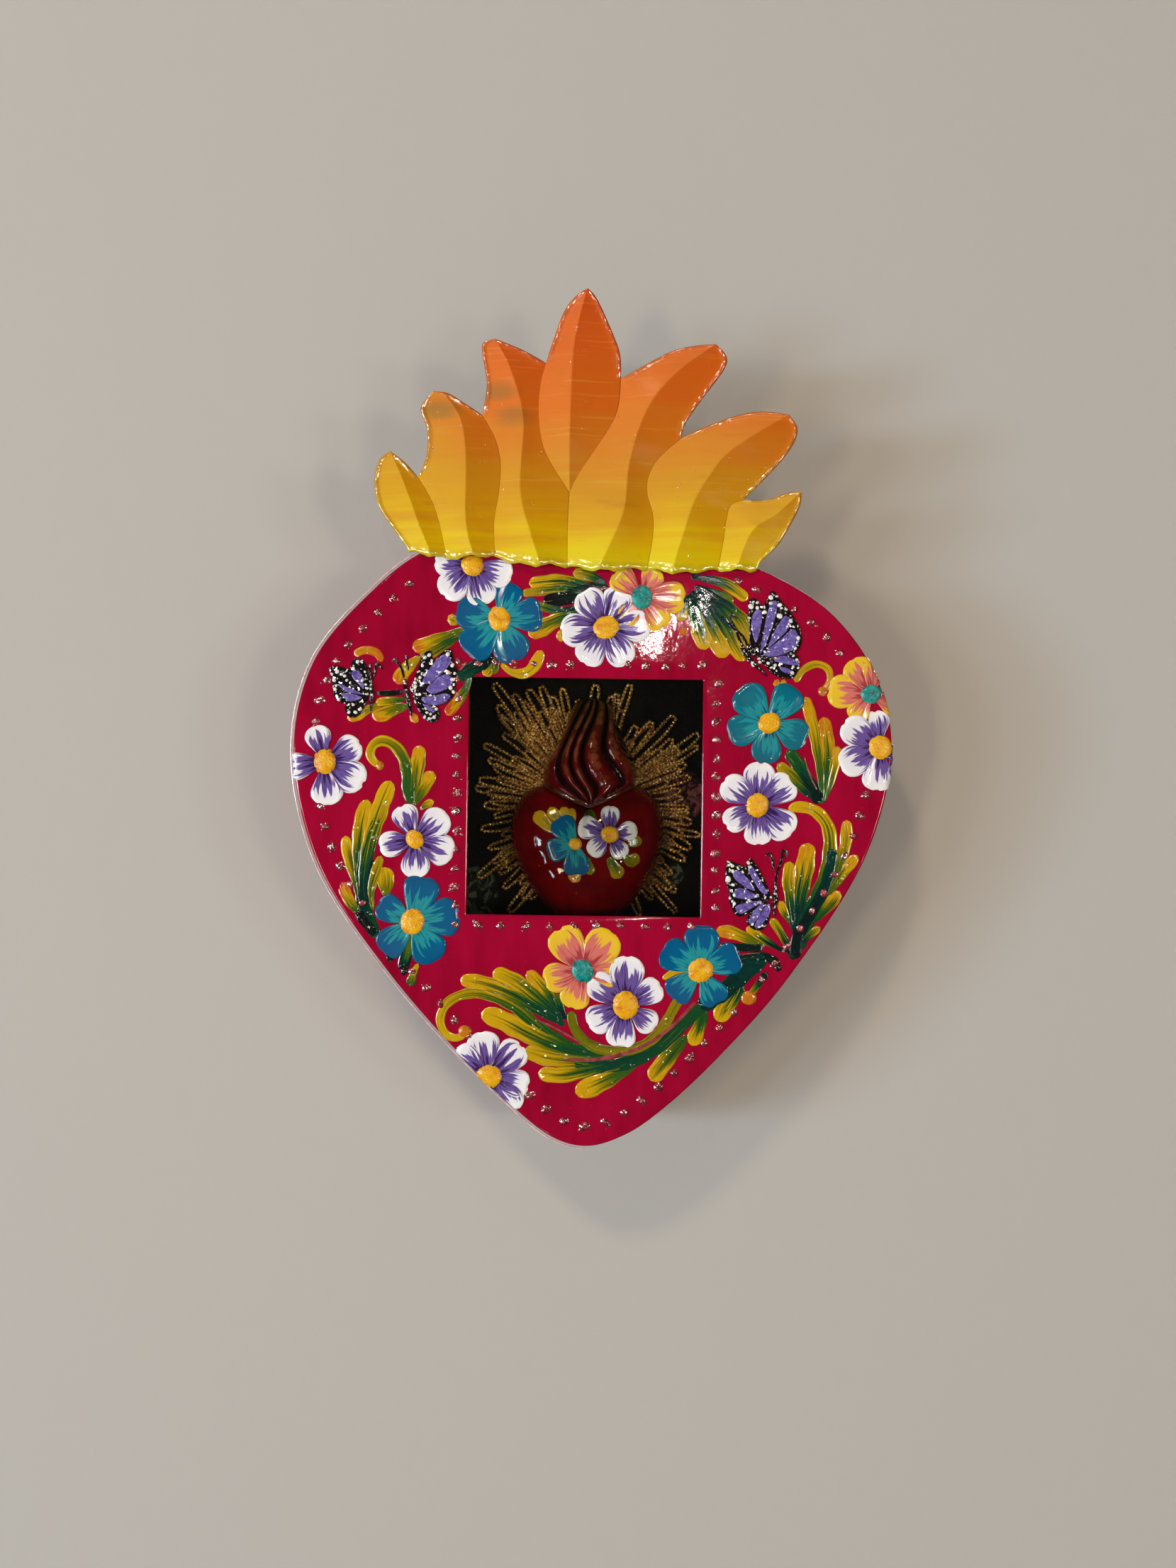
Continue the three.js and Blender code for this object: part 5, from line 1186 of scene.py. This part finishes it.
def decoration():
    leaves, pinks = Pile(), Pile()
    for shape, width, first, last, *line in LEAVES:
        stroke(leaves, rows_of(line), width * LEAF_WIDER, shape, (first, last), lift=RANDOM.uniform(0, 0.06))
    for x, z, radius, tone in KNOBS:
        drop(leaves, (x, z), radius, 0.5, (tone, tone, RANDOM.uniform()), lift=0.1)
    for width, *line in PINK:
        stroke(pinks, rows_of(line), width * STEM_WIDTH, "even", (0, 0), height=0.2, lift=0.2)
    leaves.mesh("painted_leaves", leaf_paint("leaf_enamel"))
    pinks.mesh("painted_stems", gloss_paint("stem_enamel", (108, 38, 38), (164, 80, 78)))
    flowers(FLOWERS, on_front, "painted")
    butterflies()


def flowers(drawn, place, prefix, body="case", slot="painted_front"):
    centres = Pile(place)
    for kind in sorted({flower[0] for flower in drawn}):
        pile = Pile(place)
        *looks, share, lift = PETALS[kind]
        for _, x, z, radius, *petals in (flower for flower in drawn if flower[0] == kind):
            for angle, length in rows_of(petals):
                petal(pile, (x, z), angle, radius * 0.7, length, share, lift + RANDOM.uniform(0, 0.05),
                      RANDOM.uniform(0, 0.25))
            drop(centres, (x, z), radius, 0.95, (float(kind == "yellow"), *seeded()[1:]), lift=lift, sides=22)
        pile.mesh(f"{prefix}_{kind}_petals", petal_paint(f"{prefix}_{kind}_enamel", *looks), body, slot)
    centres.mesh(f"{prefix}_flower_centres", pollen_paint(f"{prefix}_centre_enamel"), body, slot)


def speckle(pile, wing, taken):
    """Small white dabs inside a wing's black border, between its larger dots."""
    loop = clockwise_loop(wing, 1.7)
    for inset in (0.62, 1.35):
        for spot in loop - loop_normals(loop) * inset:
            spot = spot + RANDOM.uniform(-0.4, 0.4, 2)
            size = RANDOM.choice([0.0, 0.13, 0.2, 0.38], p=[0.45, 0.2, 0.2, 0.15])
            free = size > 0 and np.linalg.norm(taken[:, :2] - spot, axis=1).min() > size + 0.5
            if free and inside_loop(spot[None], loop)[0]:
                drop(pile, spot, size, 0.24, seeded(), lift=0.48, sides=9, rough=0.55, flare=1.05)


BODY_ACROSS = np.array([-1, -0.85, -0.5, 0, 0.5, 0.85, 1])


def butterflies():
    wings, panels, dots = Pile(), Pile(), Pile()
    for fly in FLIES:
        spots = rows_of(fly["dots"], 3)
        for loop in fly["wings"]:
            patch(wings, rows_of(loop), 0.3, seeded(), lift=0.24)
            speckle(dots, rows_of(loop), spots)
        for loop in fly["panels"]:
            middle = rows_of(loop).mean(axis=0)
            patch(panels, middle + (rows_of(loop) - middle) * PANEL_SWELL, 0.22, seeded(), lift=0.44)
        for line in fly["feelers"]:
            stroke(wings, rows_of(line), 0.75, "even", (0, 0), lift=0.24)
        body = smooth_line(rows_of(fly["body"]), 0.5)
        girth = np.interp(np.linspace(0, 1, len(body)), np.linspace(0, 1, len(fly["girth"])), fly["girth"])
        rise = 0.5 + 0.5 * girth[:, None] * np.sqrt(1 - BODY_ACROSS[None] ** 4)
        rise[:, [0, -1]] = 0.2
        wings.grid(spread_from(body, girth / 2, BODY_ACROSS), rise, (0, 0, 0))
        for share in (0.06, 0.14, 0.3, 0.5):
            at = body[int(share * (len(body) - 1))] + RANDOM.uniform(-0.25, 0.25, 2)
            drop(dots, at, RANDOM.uniform(0.22, 0.4), 0.3, seeded(), lift=0.95, sides=8, rough=0.3)
        for x, z, radius in spots:
            drop(dots, (x, z), radius, 0.34, seeded(), lift=0.48, sides=10, rough=0.15, flare=1.05)
    wings.mesh("painted_wings", gloss_paint("black_enamel", (10, 6, 8), (24, 16, 18), glints=0.7))
    panels.mesh("painted_wing_panels", gloss_paint("purple_enamel", (70, 52, 132), (128, 114, 188), 700, 0.25))
    dots.mesh("painted_wing_dots", gloss_paint("white_enamel", (214, 210, 206), (240, 238, 236), 900))


# Inside the window

CLAY_CENTRE = np.array([-1.4, -72.5])
CLAY_HALF = [(0, -57), (4.6, -52.5), (11.4, -50.1), (18.6, -52.9), (22.9, -61), (22.3, -70), (17.8, -80),
             (11, -89.5), (4.6, -97.5), (0, -100.1)]
CLAY_BACK = -8.0
CLAY_DEEP = 15.0
CLAY_RINGS = np.array([1.0, 0.9985, 0.994, 0.985, 0.97, 0.945, 0.91, 0.86, 0.79, 0.7, 0.58, 0.44, 0.28, 0.12, 0.01])


def clay_outline(count):
    right = smooth_line(CLAY_HALF, 0.4)
    loop = np.vstack([right, (right * (-1, 1))[-2::-1]]) + (CLAY_CENTRE[0], 0)
    return respaced(loop, count + 1)[:-1]


CLAY_LOOP = clay_outline(240)


def clay_share(points):
    """How far each point is from the clay heart's centre, as a share of the way to its outline."""
    out, away = CLAY_LOOP - CLAY_CENTRE, points - CLAY_CENTRE
    angles = np.arctan2(out[:, 1], out[:, 0])
    order = np.argsort(angles)
    edge = np.interp(np.arctan2(away[:, 1], away[:, 0]), angles[order], np.linalg.norm(out, axis=1)[order],
                     period=2 * math.pi)
    return np.clip(np.linalg.norm(away, axis=1) / edge, 0, 1)


def on_clay(points, lift):
    return at_depth(points, CLAY_BACK - CLAY_DEEP * np.sqrt(np.maximum(0, 1 - clay_share(points) ** 2.8)) - lift)


def clay_heart():
    """The heart's body, closed at its back."""
    pile = Pile(on_clay)
    flat = CLAY_CENTRE + (CLAY_LOOP - CLAY_CENTRE)[None] * CLAY_RINGS[:, None, None]
    x, z = flat[..., 0], flat[..., 1]
    rise = 0.09 * (np.sin(x * 0.9 + z * 0.4) + np.sin(z * 1.1 - x * 0.5))
    rise[0] = 0
    pile.grid(flat, rise, (0, 0, 0), closed=True)
    heart = pile.mesh("clay_heart_body", clay_gloss("red_clay", (76, 0, 2), (110, 1, 6)), "door", "painted_clay")
    close_back(heart, CLAY_BACK)
    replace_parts(heart, "clay_heart")


def clay_paint():
    leaves = Pile(on_clay)
    for shape, width, first, last, *line in CLAY_LEAVES:
        stroke(leaves, rows_of(line), width, shape, (first, last))
    leaves.mesh("clay_painted_leaves", leaf_paint("clay_leaf_enamel"), "door", "painted_clay")
    flowers(CLAY_FLOWERS, on_clay, "clay", "door", "painted_clay")


def close_back(obj, y):
    """Closes the open rim of a relief that lies at this depth."""
    work = bmesh.new()
    work.from_mesh(obj.data)
    rim = [edge for edge in work.edges if edge.is_boundary and all(abs(v.co.y - y * MM) < 2e-4 for v in edge.verts)]
    bmesh.ops.holes_fill(work, edges=rim, sides=0)
    work.to_mesh(obj.data)
    work.free()


FLAME_FOOT = -56.5
FLAME_TIP = -24.6
FLAME_DEEP = ([0, 0.04, 0.3, 0.6, 0.85, 1], [10.08, 11.2, 10.528, 8.288, 5.6, 3.36])
FLAME_HALF = ([-56.5, -50.3, -47, -44.5, -41, -38.8, -35.6, -32, -28.9, -26.5, -25.3, -24.8, -24.6],
              [13.2, 13.9, 14.2, 13.6, 11.8, 10.6, 9.0, 7.6, 6.5, 5.7, 4.6, 3.0, 0.1])
FLUTES = 4.8
FLUTE_DEEP = 3.6
FOOT_DROP, FOOT_POWER = 6.4, 1.2
RIM_RADIUS = 0.85


def clay_flame():
    """The flame over the heart: flutes that fan out from its foot and lean in an S, with a rim where it joins."""
    u = np.linspace(-1, 1, 113)[None]
    v = np.concatenate([[0, 0.012, 0.03], np.linspace(0.05, 0.95, 60), [0.965, 0.98, 0.99, 0.996, 1.0]])[:, None]
    foot = FLAME_FOOT + FOOT_DROP * np.abs(u) ** FOOT_POWER
    z = foot + (FLAME_TIP - foot) * v
    half = np.interp(z, *FLAME_HALF)
    x = -0.7 + 1.0 * v ** 2 + 0.5 * np.sin(v * 3.3) + half * u
    fan = np.clip(u / np.clip((z - FLAME_FOOT) / FOOT_DROP, 0.02, 1) ** (1 / FOOT_POWER), -1, 1)
    fan = fan + 0.34 * np.sin(v * 5.0 - 0.9) * (1 - fan ** 2)
    fan = fan + 0.07 * np.sin(fan * 5.3 + 1.2)
    ridge = np.abs(np.cos(fan * math.pi * FLUTES / 2 + 0.5)) ** 0.6
    bulge = np.sqrt(np.maximum(0, 1 - np.abs(u) ** 2.6))
    y = CLAY_BACK - np.interp(v, *FLAME_DEEP) * bulge - FLUTE_DEEP * ridge * np.minimum(1, half / 11) * bulge ** 0.5
    y[:, [0, -1]] = CLAY_BACK
    points = np.stack([x, y, z], axis=2)
    facts = np.stack([ridge, np.broadcast_to(v, z.shape), np.zeros(z.shape)], axis=2)
    made("clay_flame", points.reshape(-1, 3), grid_faces(*z.shape), clay_flame_gloss("flame_clay"), "door",
         unit_map(v[:, 0], u.size), facts.reshape(-1, 3))
    tubes("clay_flame_rim", [points[0, 2:-2] - (0, 0.1, 0)], RIM_RADIUS,
          gloss_paint("rim_enamel", (48, 10, 6), (96, 44, 24)), "door")


LACE_CENTRE = np.array([-1.4, -57.0])
LACE_TIPS = (-25, -21, -20.5, -19.2, -15.5, -20.2, -12.5, -26, -24, -27.5, -29.8, -19.8, -28.8, -28.6, -32.4, -43.7,
             -36.4, -48.4, -36.4, -51.3, -34.5, -56.7, -32.4, -70.3, -36.4, -79.7, -29.3, -84.4, -21, -85.4,
             27.4, -84.9, 26.4, -90.1, 22.8, -75, 31.6, -70.3, 33.7, -62.5, 33.7, -66.1, 32.7, -57.8, 30.1, -43.7,
             33.2, -34.9, 33.2, -38.5, 25.4, -29.7, 12.3, -18.7, -20.7, -34.9, -9.5, -18.7, -4.3, -21.9, 1.4, -18.2,
             6.6, -22.4, -25.2, -41.6, 20.7, -44.8, -34, -37.5, 27.4, -52.1, -14.7, -29.7, 32.5, -47.5, 30.5, -74.6,
             20.5, -88.5, 18.5, -31.5, 9.5, -26.8, 28, -39, -33.6, -64, -31.5, -75, 15, -91, -25.5, -90, 12.5, -37,
             -14, -36, 25, -80.5, 19, -84, 29, -71.5)
LACE_DEPTH = -7.2
LACE_RADIUS = 0.52
LACE_ROOT = 0.36


def lace_loop(tip, wide, bend_by):
    """A long narrow loop from near the centre out to the tip and back."""
    out = unit(tip - LACE_CENTRE)
    side = np.array([-out[1], out[0]])
    root = LACE_CENTRE + (tip - LACE_CENTRE) * LACE_ROOT
    run = tip - root
    up, down = ([root + side * 0.9 * way, root + run * 0.35 + side * (bend_by * 0.6 + wide * 0.8 * way),
                 root + run * 0.72 + side * (bend_by + wide * way), tip + side * wide * 0.75 * way - out * 0.9]
                for way in (1, -1))
    return smooth_line([*up, tip, *down[::-1]], 0.3)


def gold_lace():
    """Beaded metallic cord sewn down in loops, two to each tip."""
    cords = []
    for away in rows_of(LACE_TIPS) - LACE_CENTRE:
        step = RANDOM.uniform(3.2, 3.8) / np.linalg.norm(away)
        for turn, share in ((0, 1.0), (step, 0.9)):
            share *= RANDOM.uniform(0.88, 1.0)
            tip = LACE_CENTRE + share * rotated(away[None], turn)[0]
            line = lace_loop(tip, RANDOM.uniform(0.9, 1.3), RANDOM.uniform(-0.7, 0.7))
            cords.append(at_depth(line, LACE_DEPTH + RANDOM.uniform(-0.3, 0.3)))
    lace = tubes("gold_lace_cord", cords, LACE_RADIUS, gold_finish("gold_thread"), "door", sides=6,
                 beads=0.36)
    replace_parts(lace, "gold_lace")


CLOTH = (75.6, 86.0)
CLOTH_CENTRE = (-1.4, -54.0)
CLOTH_GRID = (64, 72)
CLOTH_Y = -6.25


def lining():
    """The cloth, glued to the card with a few shallow ripples."""
    x, z = np.meshgrid(*(np.linspace(-side / 2, side / 2, count) for side, count in zip(CLOTH, CLOTH_GRID)))
    y = CLOTH_Y - 0.12 * (np.sin(x * 0.31 + z * 0.12) + np.sin(z * 0.27 - x * 0.1))
    points = at_depth(np.stack([x, z], axis=2) + CLOTH_CENTRE, y).reshape(-1, 3)
    cloth = made("lining_cloth", points, grid_faces(*x.shape), lining_finish("dark_floral_cloth"), "door",
                 unit_map(*x.shape))
    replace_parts(cloth, "lining_fabric")


# The box and the back, from the CAD nodes

# A clip's folded section: how far inwards from its own outer edge or the pane's edge, then how far behind its
# front or its back.
CLIP_FOLD = [("outer", 0, "back", -0.9), ("pane", -0.3, "back", -0.9), ("pane", -0.2, "back", -0.3),
             ("pane", 0.2, "back", -0.06), ("pane", 1.2, "back", -0.1), ("pane", 1.25, "back", -0.42),
             ("pane", 0.1, "back", -0.4), ("pane", -0.05, "back", -0.75), ("pane", -0.3, "front", 0.3),
             ("pane", -0.6, "front", 0), ("outer", 0, "front", 0)]
CLIP_STATIONS = np.concatenate([[0, 0.02], np.linspace(0.06, 0.94, 9), [0.98, 1]])


def glass_clips():
    """Four folded strips of tin that hold the pane by its edges."""
    finish = tin("clip_tin", (60, 56, 52), (120, 114, 106), 0.1)
    pane = np.array(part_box("glass_pane")) / MM
    for side, end, axis in (("right", 1, 0), ("top", 1, 2), ("left", 0, 0), ("bottom", 0, 2)):
        name = "glass_clip_" + side
        box = np.array(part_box(name)) / MM
        way = 1 - 2 * end
        across = {"outer": box[end, axis], "pane": pane[end, axis]}
        depth = {"front": box[0, 1], "back": box[1, 1]}
        ends = box[:, 2 - axis]
        points = []
        for t in CLIP_STATIONS:
            pinch = 0.12 * (1 - min(1.0, min(t, 1 - t) / 0.03))
            for start, inwards, face, back in CLIP_FOLD:
                point = [0, depth[face] + back + pinch, 0]
                point[axis], point[2 - axis] = across[start] + way * inwards, ends[0] + (ends[1] - ends[0]) * t
                points.append(point)
        faces = grid_faces(len(CLIP_STATIONS), len(CLIP_FOLD), closed=True, capped=True)
        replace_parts(made(name + "_folded", np.array(points), faces, finish, "case"), name)


WORN_EDGE = 0.12


def dress(material, *names):
    for name in names:
        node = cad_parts[name]
        node.data.materials.clear()
        node.data.materials.append(material)


def softened(*names):
    """Rounds the CAD nodes' sharp edges a little and shades their curves smooth."""
    for name in names:
        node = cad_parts[name]
        node.data.polygons.foreach_set("use_smooth", np.ones(len(node.data.polygons), bool))
        node.modifiers.new("weld", "WELD").merge_threshold = 1e-5
        bevel = node.modifiers.new("worn_edges", "BEVEL")
        bevel.width, bevel.segments = WORN_EDGE * MM, 2
        bevel.limit_method, bevel.angle_limit = "ANGLE", math.radians(35)
        bevel.harden_normals = True


def tin_parts():
    bands = ("side_band_left", "side_band_right")
    sheets = ("back_cover", "back_door", "hanger_strap", "turn_button", "door_pull")
    dress(tin("bare_tin", (104, 102, 98), (178, 176, 170)), *sheets, "door_knuckle", "hinge_knuckle_top",
          "hinge_knuckle_bottom", "top_seam_tab", "tip_seam_tab")
    # The box's tin is darker than the rest: partly oxide and partly painted shade of the recess.
    dress(tin("recess_shaded_tin", (66, 62, 58), (126, 120, 112), 0.15), "niche_box")
    dress(wire_finish("steel_wire"), "hinge_pin", "hanging_ring", "latch_rivet")
    dress(enamel("magenta_band"), *bands)
    dress(card_finish("backing_card_grey"), "backing_card")
    dress(glass_finish("window_glass"), "glass_pane")
    softened(*sheets, "latch_rivet", *bands)


EDGE_OUT, EDGE_RADIUS, SEAM_RADIUS, BEAD_RADIUS, BEAD_POINTS = 0.78, 0.24, 0.6, 0.55, 24


def rim_and_seam():
    """A painted highlight down the left of the front's turned edge, and the painted-over solder down the seam at the
    tip.
    """
    edge = OUTLINE + OUTLINE_OUT * EDGE_OUT
    left = np.roll(edge, -int(edge[:, 1].argmin()), axis=0)
    left = left[left[:, 0] < left[0, 0] + 0.01]
    ring = at_depth(respaced(left, int(length_of(left) / 1.2)), FRONT + 0.55)
    # Painted highlight: a pale pink-white line on the left edge only, where light from the left would catch the roll.
    tubes("turned_edge_highlight", [ring], EDGE_RADIUS, gloss_paint("painted_edge_highlight", (196, 150, 166), (232, 204, 212)),
          "case")
    tip = OUTLINE[OUTLINE[:, 1].argmin()]
    seam = at_depth(tip + (0, 0.45), np.linspace(FRONT + 0.8, -0.9, 60))
    tubes("tip_seam_solder", [seam], SEAM_RADIUS, enamel("seam_enamel"), "case", beads=0.12)


def solder_beads():
    """Lumpy solder along the hanger strap and the hinge's fixed knuckles."""
    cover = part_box("back_cover")[1][1] / MM
    lines = []
    for name, sides in (("hanger_strap", (0, 1)), ("hinge_knuckle_top", (0,)), ("hinge_knuckle_bottom", (0,))):
        box = np.array(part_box(name)) / MM
        for side in sides:
            z = np.linspace(box[0, 2] + 0.4, box[1, 2] - 0.4, BEAD_POINTS)
            x = box[side, 0] + RANDOM.uniform(-0.15, 0.15, BEAD_POINTS)
            lines.append(at_depth(np.stack([x, z], axis=1), cover))
    tubes("solder_beads", lines, BEAD_RADIUS, tin("solder", (130, 130, 130), (206, 206, 204), 0.0, 0.22),
          "case", beads=0.25)


# Studio, in metres

FLOOR = -0.42
WALL_Y = 0.0012


def studio():
    wall = slab("studio_wall", [(-3, WALL_Y, FLOOR), (3, WALL_Y, FLOOR), (3, WALL_Y, 3), (-3, WALL_Y, 3)],
                one_sided("pale_wall", (178, 176, 174)))
    floor = slab("studio_floor", [(-3, -3, FLOOR), (3, -3, FLOOR), (3, WALL_Y, FLOOR), (-3, WALL_Y, FLOOR)],
                 one_sided("pale_floor", (200, 197, 190)))
    wall.visible_shadow = False
    wall.visible_glossy = floor.visible_glossy = False
    world = bpy.data.worlds.new("studio")
    bpy.context.scene.world = world
    w = Finish(world)
    room, seen, dim = (w.wire("Background", {"Color": (*colour, 1), "Strength": strength}) for colour, strength in
                       (((1.0, 0.94, 0.88), 0.08), ((0.82, 0.82, 0.82), 1.0), ((0.03, 0.03, 0.03), 1.0)))
    for_gloss = w.wire("MixShader", {0: w.wire("LightPath", {}, "Is Glossy Ray"), 1: room, 2: dim})
    w.out(w.wire("MixShader", {0: w.wire("LightPath", {}, "Is Camera Ray"), 1: for_gloss, 2: seen}), "OutputWorld")


def slab(name, corners, material):
    data = bpy.data.meshes.new(name)
    data.from_pydata(corners, [], [(0, 1, 2, 3)])
    data.materials.append(material)
    return linked(name, data)


def one_sided(name, colour):
    """A matt surface that is only there from its front, so that the back can be looked at too."""
    f = Finish(name)
    paint = f.wire("BsdfDiffuse", {"Color": ink(colour), "Normal": f.bump(f.noise(90, 4), 0.0006, 0.25)})
    behind = f.wire("NewGeometry", {}, "Backfacing")
    return f.out(f.wire("MixShader", {0: behind, 1: paint, 2: f.wire("BsdfTransparent", {})}))


# Each lamp's name, place, size, power and colour.
LAMPS = [
    ("far_window", (-2.2, -1.2, -0.2), (0.5, 0.5), 28.5, (0.58, 0.8, 1.0)),
    ("low_window", (-1.2, -1.1, -0.62), (0.14, 0.4), 5.5, (0.78, 0.88, 1.0)),
    ("window_light", (-1.35, -1.2, -0.1), (0.4, 0.25), 6.5, (0.8, 0.9, 1.0)),
    ("near_window", (-0.74, -1.2, -0.22), (0.16, 0.4), 3.6, (1.0, 0.78, 0.54)),
    ("side_light", (0.78, -1.2, -0.15), (0.25, 0.2), 3.0, (1.0, 0.9, 0.7)),
    ("far_side_light", (1.3, -1.2, -0.15), (0.3, 0.2), 3.0, (0.96, 0.98, 0.92)),
    ("room_light", (-0.55, -1.2, 1.2), (0.2, 0.2), 9, (1.0, 0.74, 0.5)),
    ("glare_light", (0.102, -1.532, 0.180), (0.03, 0.03), 0.9, (1.0, 0.93, 0.84)),
    *((f"small_lamp_{i}", place, (0.05, 0.05), 0.35, (1.0, 0.94, 0.86)) for i, place in enumerate(
        [(-0.62, -1.3, 0.62), (0.8, -1.2, -0.35), (-0.3, -1.1, -0.9), (0.1, -0.9, 0.95)])),
    ("rear_light", (0.25, 1.5, 0.3), (0.9, 0.9), 20, (1.0, 1.0, 1.0)),
    ("rear_fill", (-0.5, 1.3, 0.1), (0.5, 0.5), 7, (1.0, 0.96, 0.9)),
]
LAMP_AIM = Vector((0.0, -0.03, -0.03))


def lamps():
    for name, place, size, power, colour in LAMPS:
        light = bpy.data.lights.new(name, "AREA")
        light.shape = "ELLIPSE"
        light.size, light.size_y = size
        light.energy, light.color = power, colour
        obj = linked(name, light)
        obj.location = place
        obj.rotation_mode = "QUATERNION"
        obj.rotation_quaternion = (LAMP_AIM - Vector(place)).to_track_quat("-Z", "Y")


def camera():
    """The photographer's place, square to the wall; the focal length is assumed, as a phone's usual lens."""
    data = bpy.data.cameras.new("photo_camera")
    data.sensor_width, data.lens, data.clip_start = 36, 26.69, 0.01
    obj = linked("photo_camera", data)
    obj.location = (-0.0011, -0.360, -0.0503)
    obj.rotation_euler = (math.pi / 2, 0, 0)
    bpy.context.scene.camera = obj


for piece in (front_plate, punched_dots, flame_crest, decoration, lining, gold_lace, clay_heart, clay_flame,
              clay_paint, glass_clips, tin_parts, rim_and_seam, solder_beads, studio, lamps, camera):
    piece()
bpy.context.scene.view_settings.view_transform = "Standard"
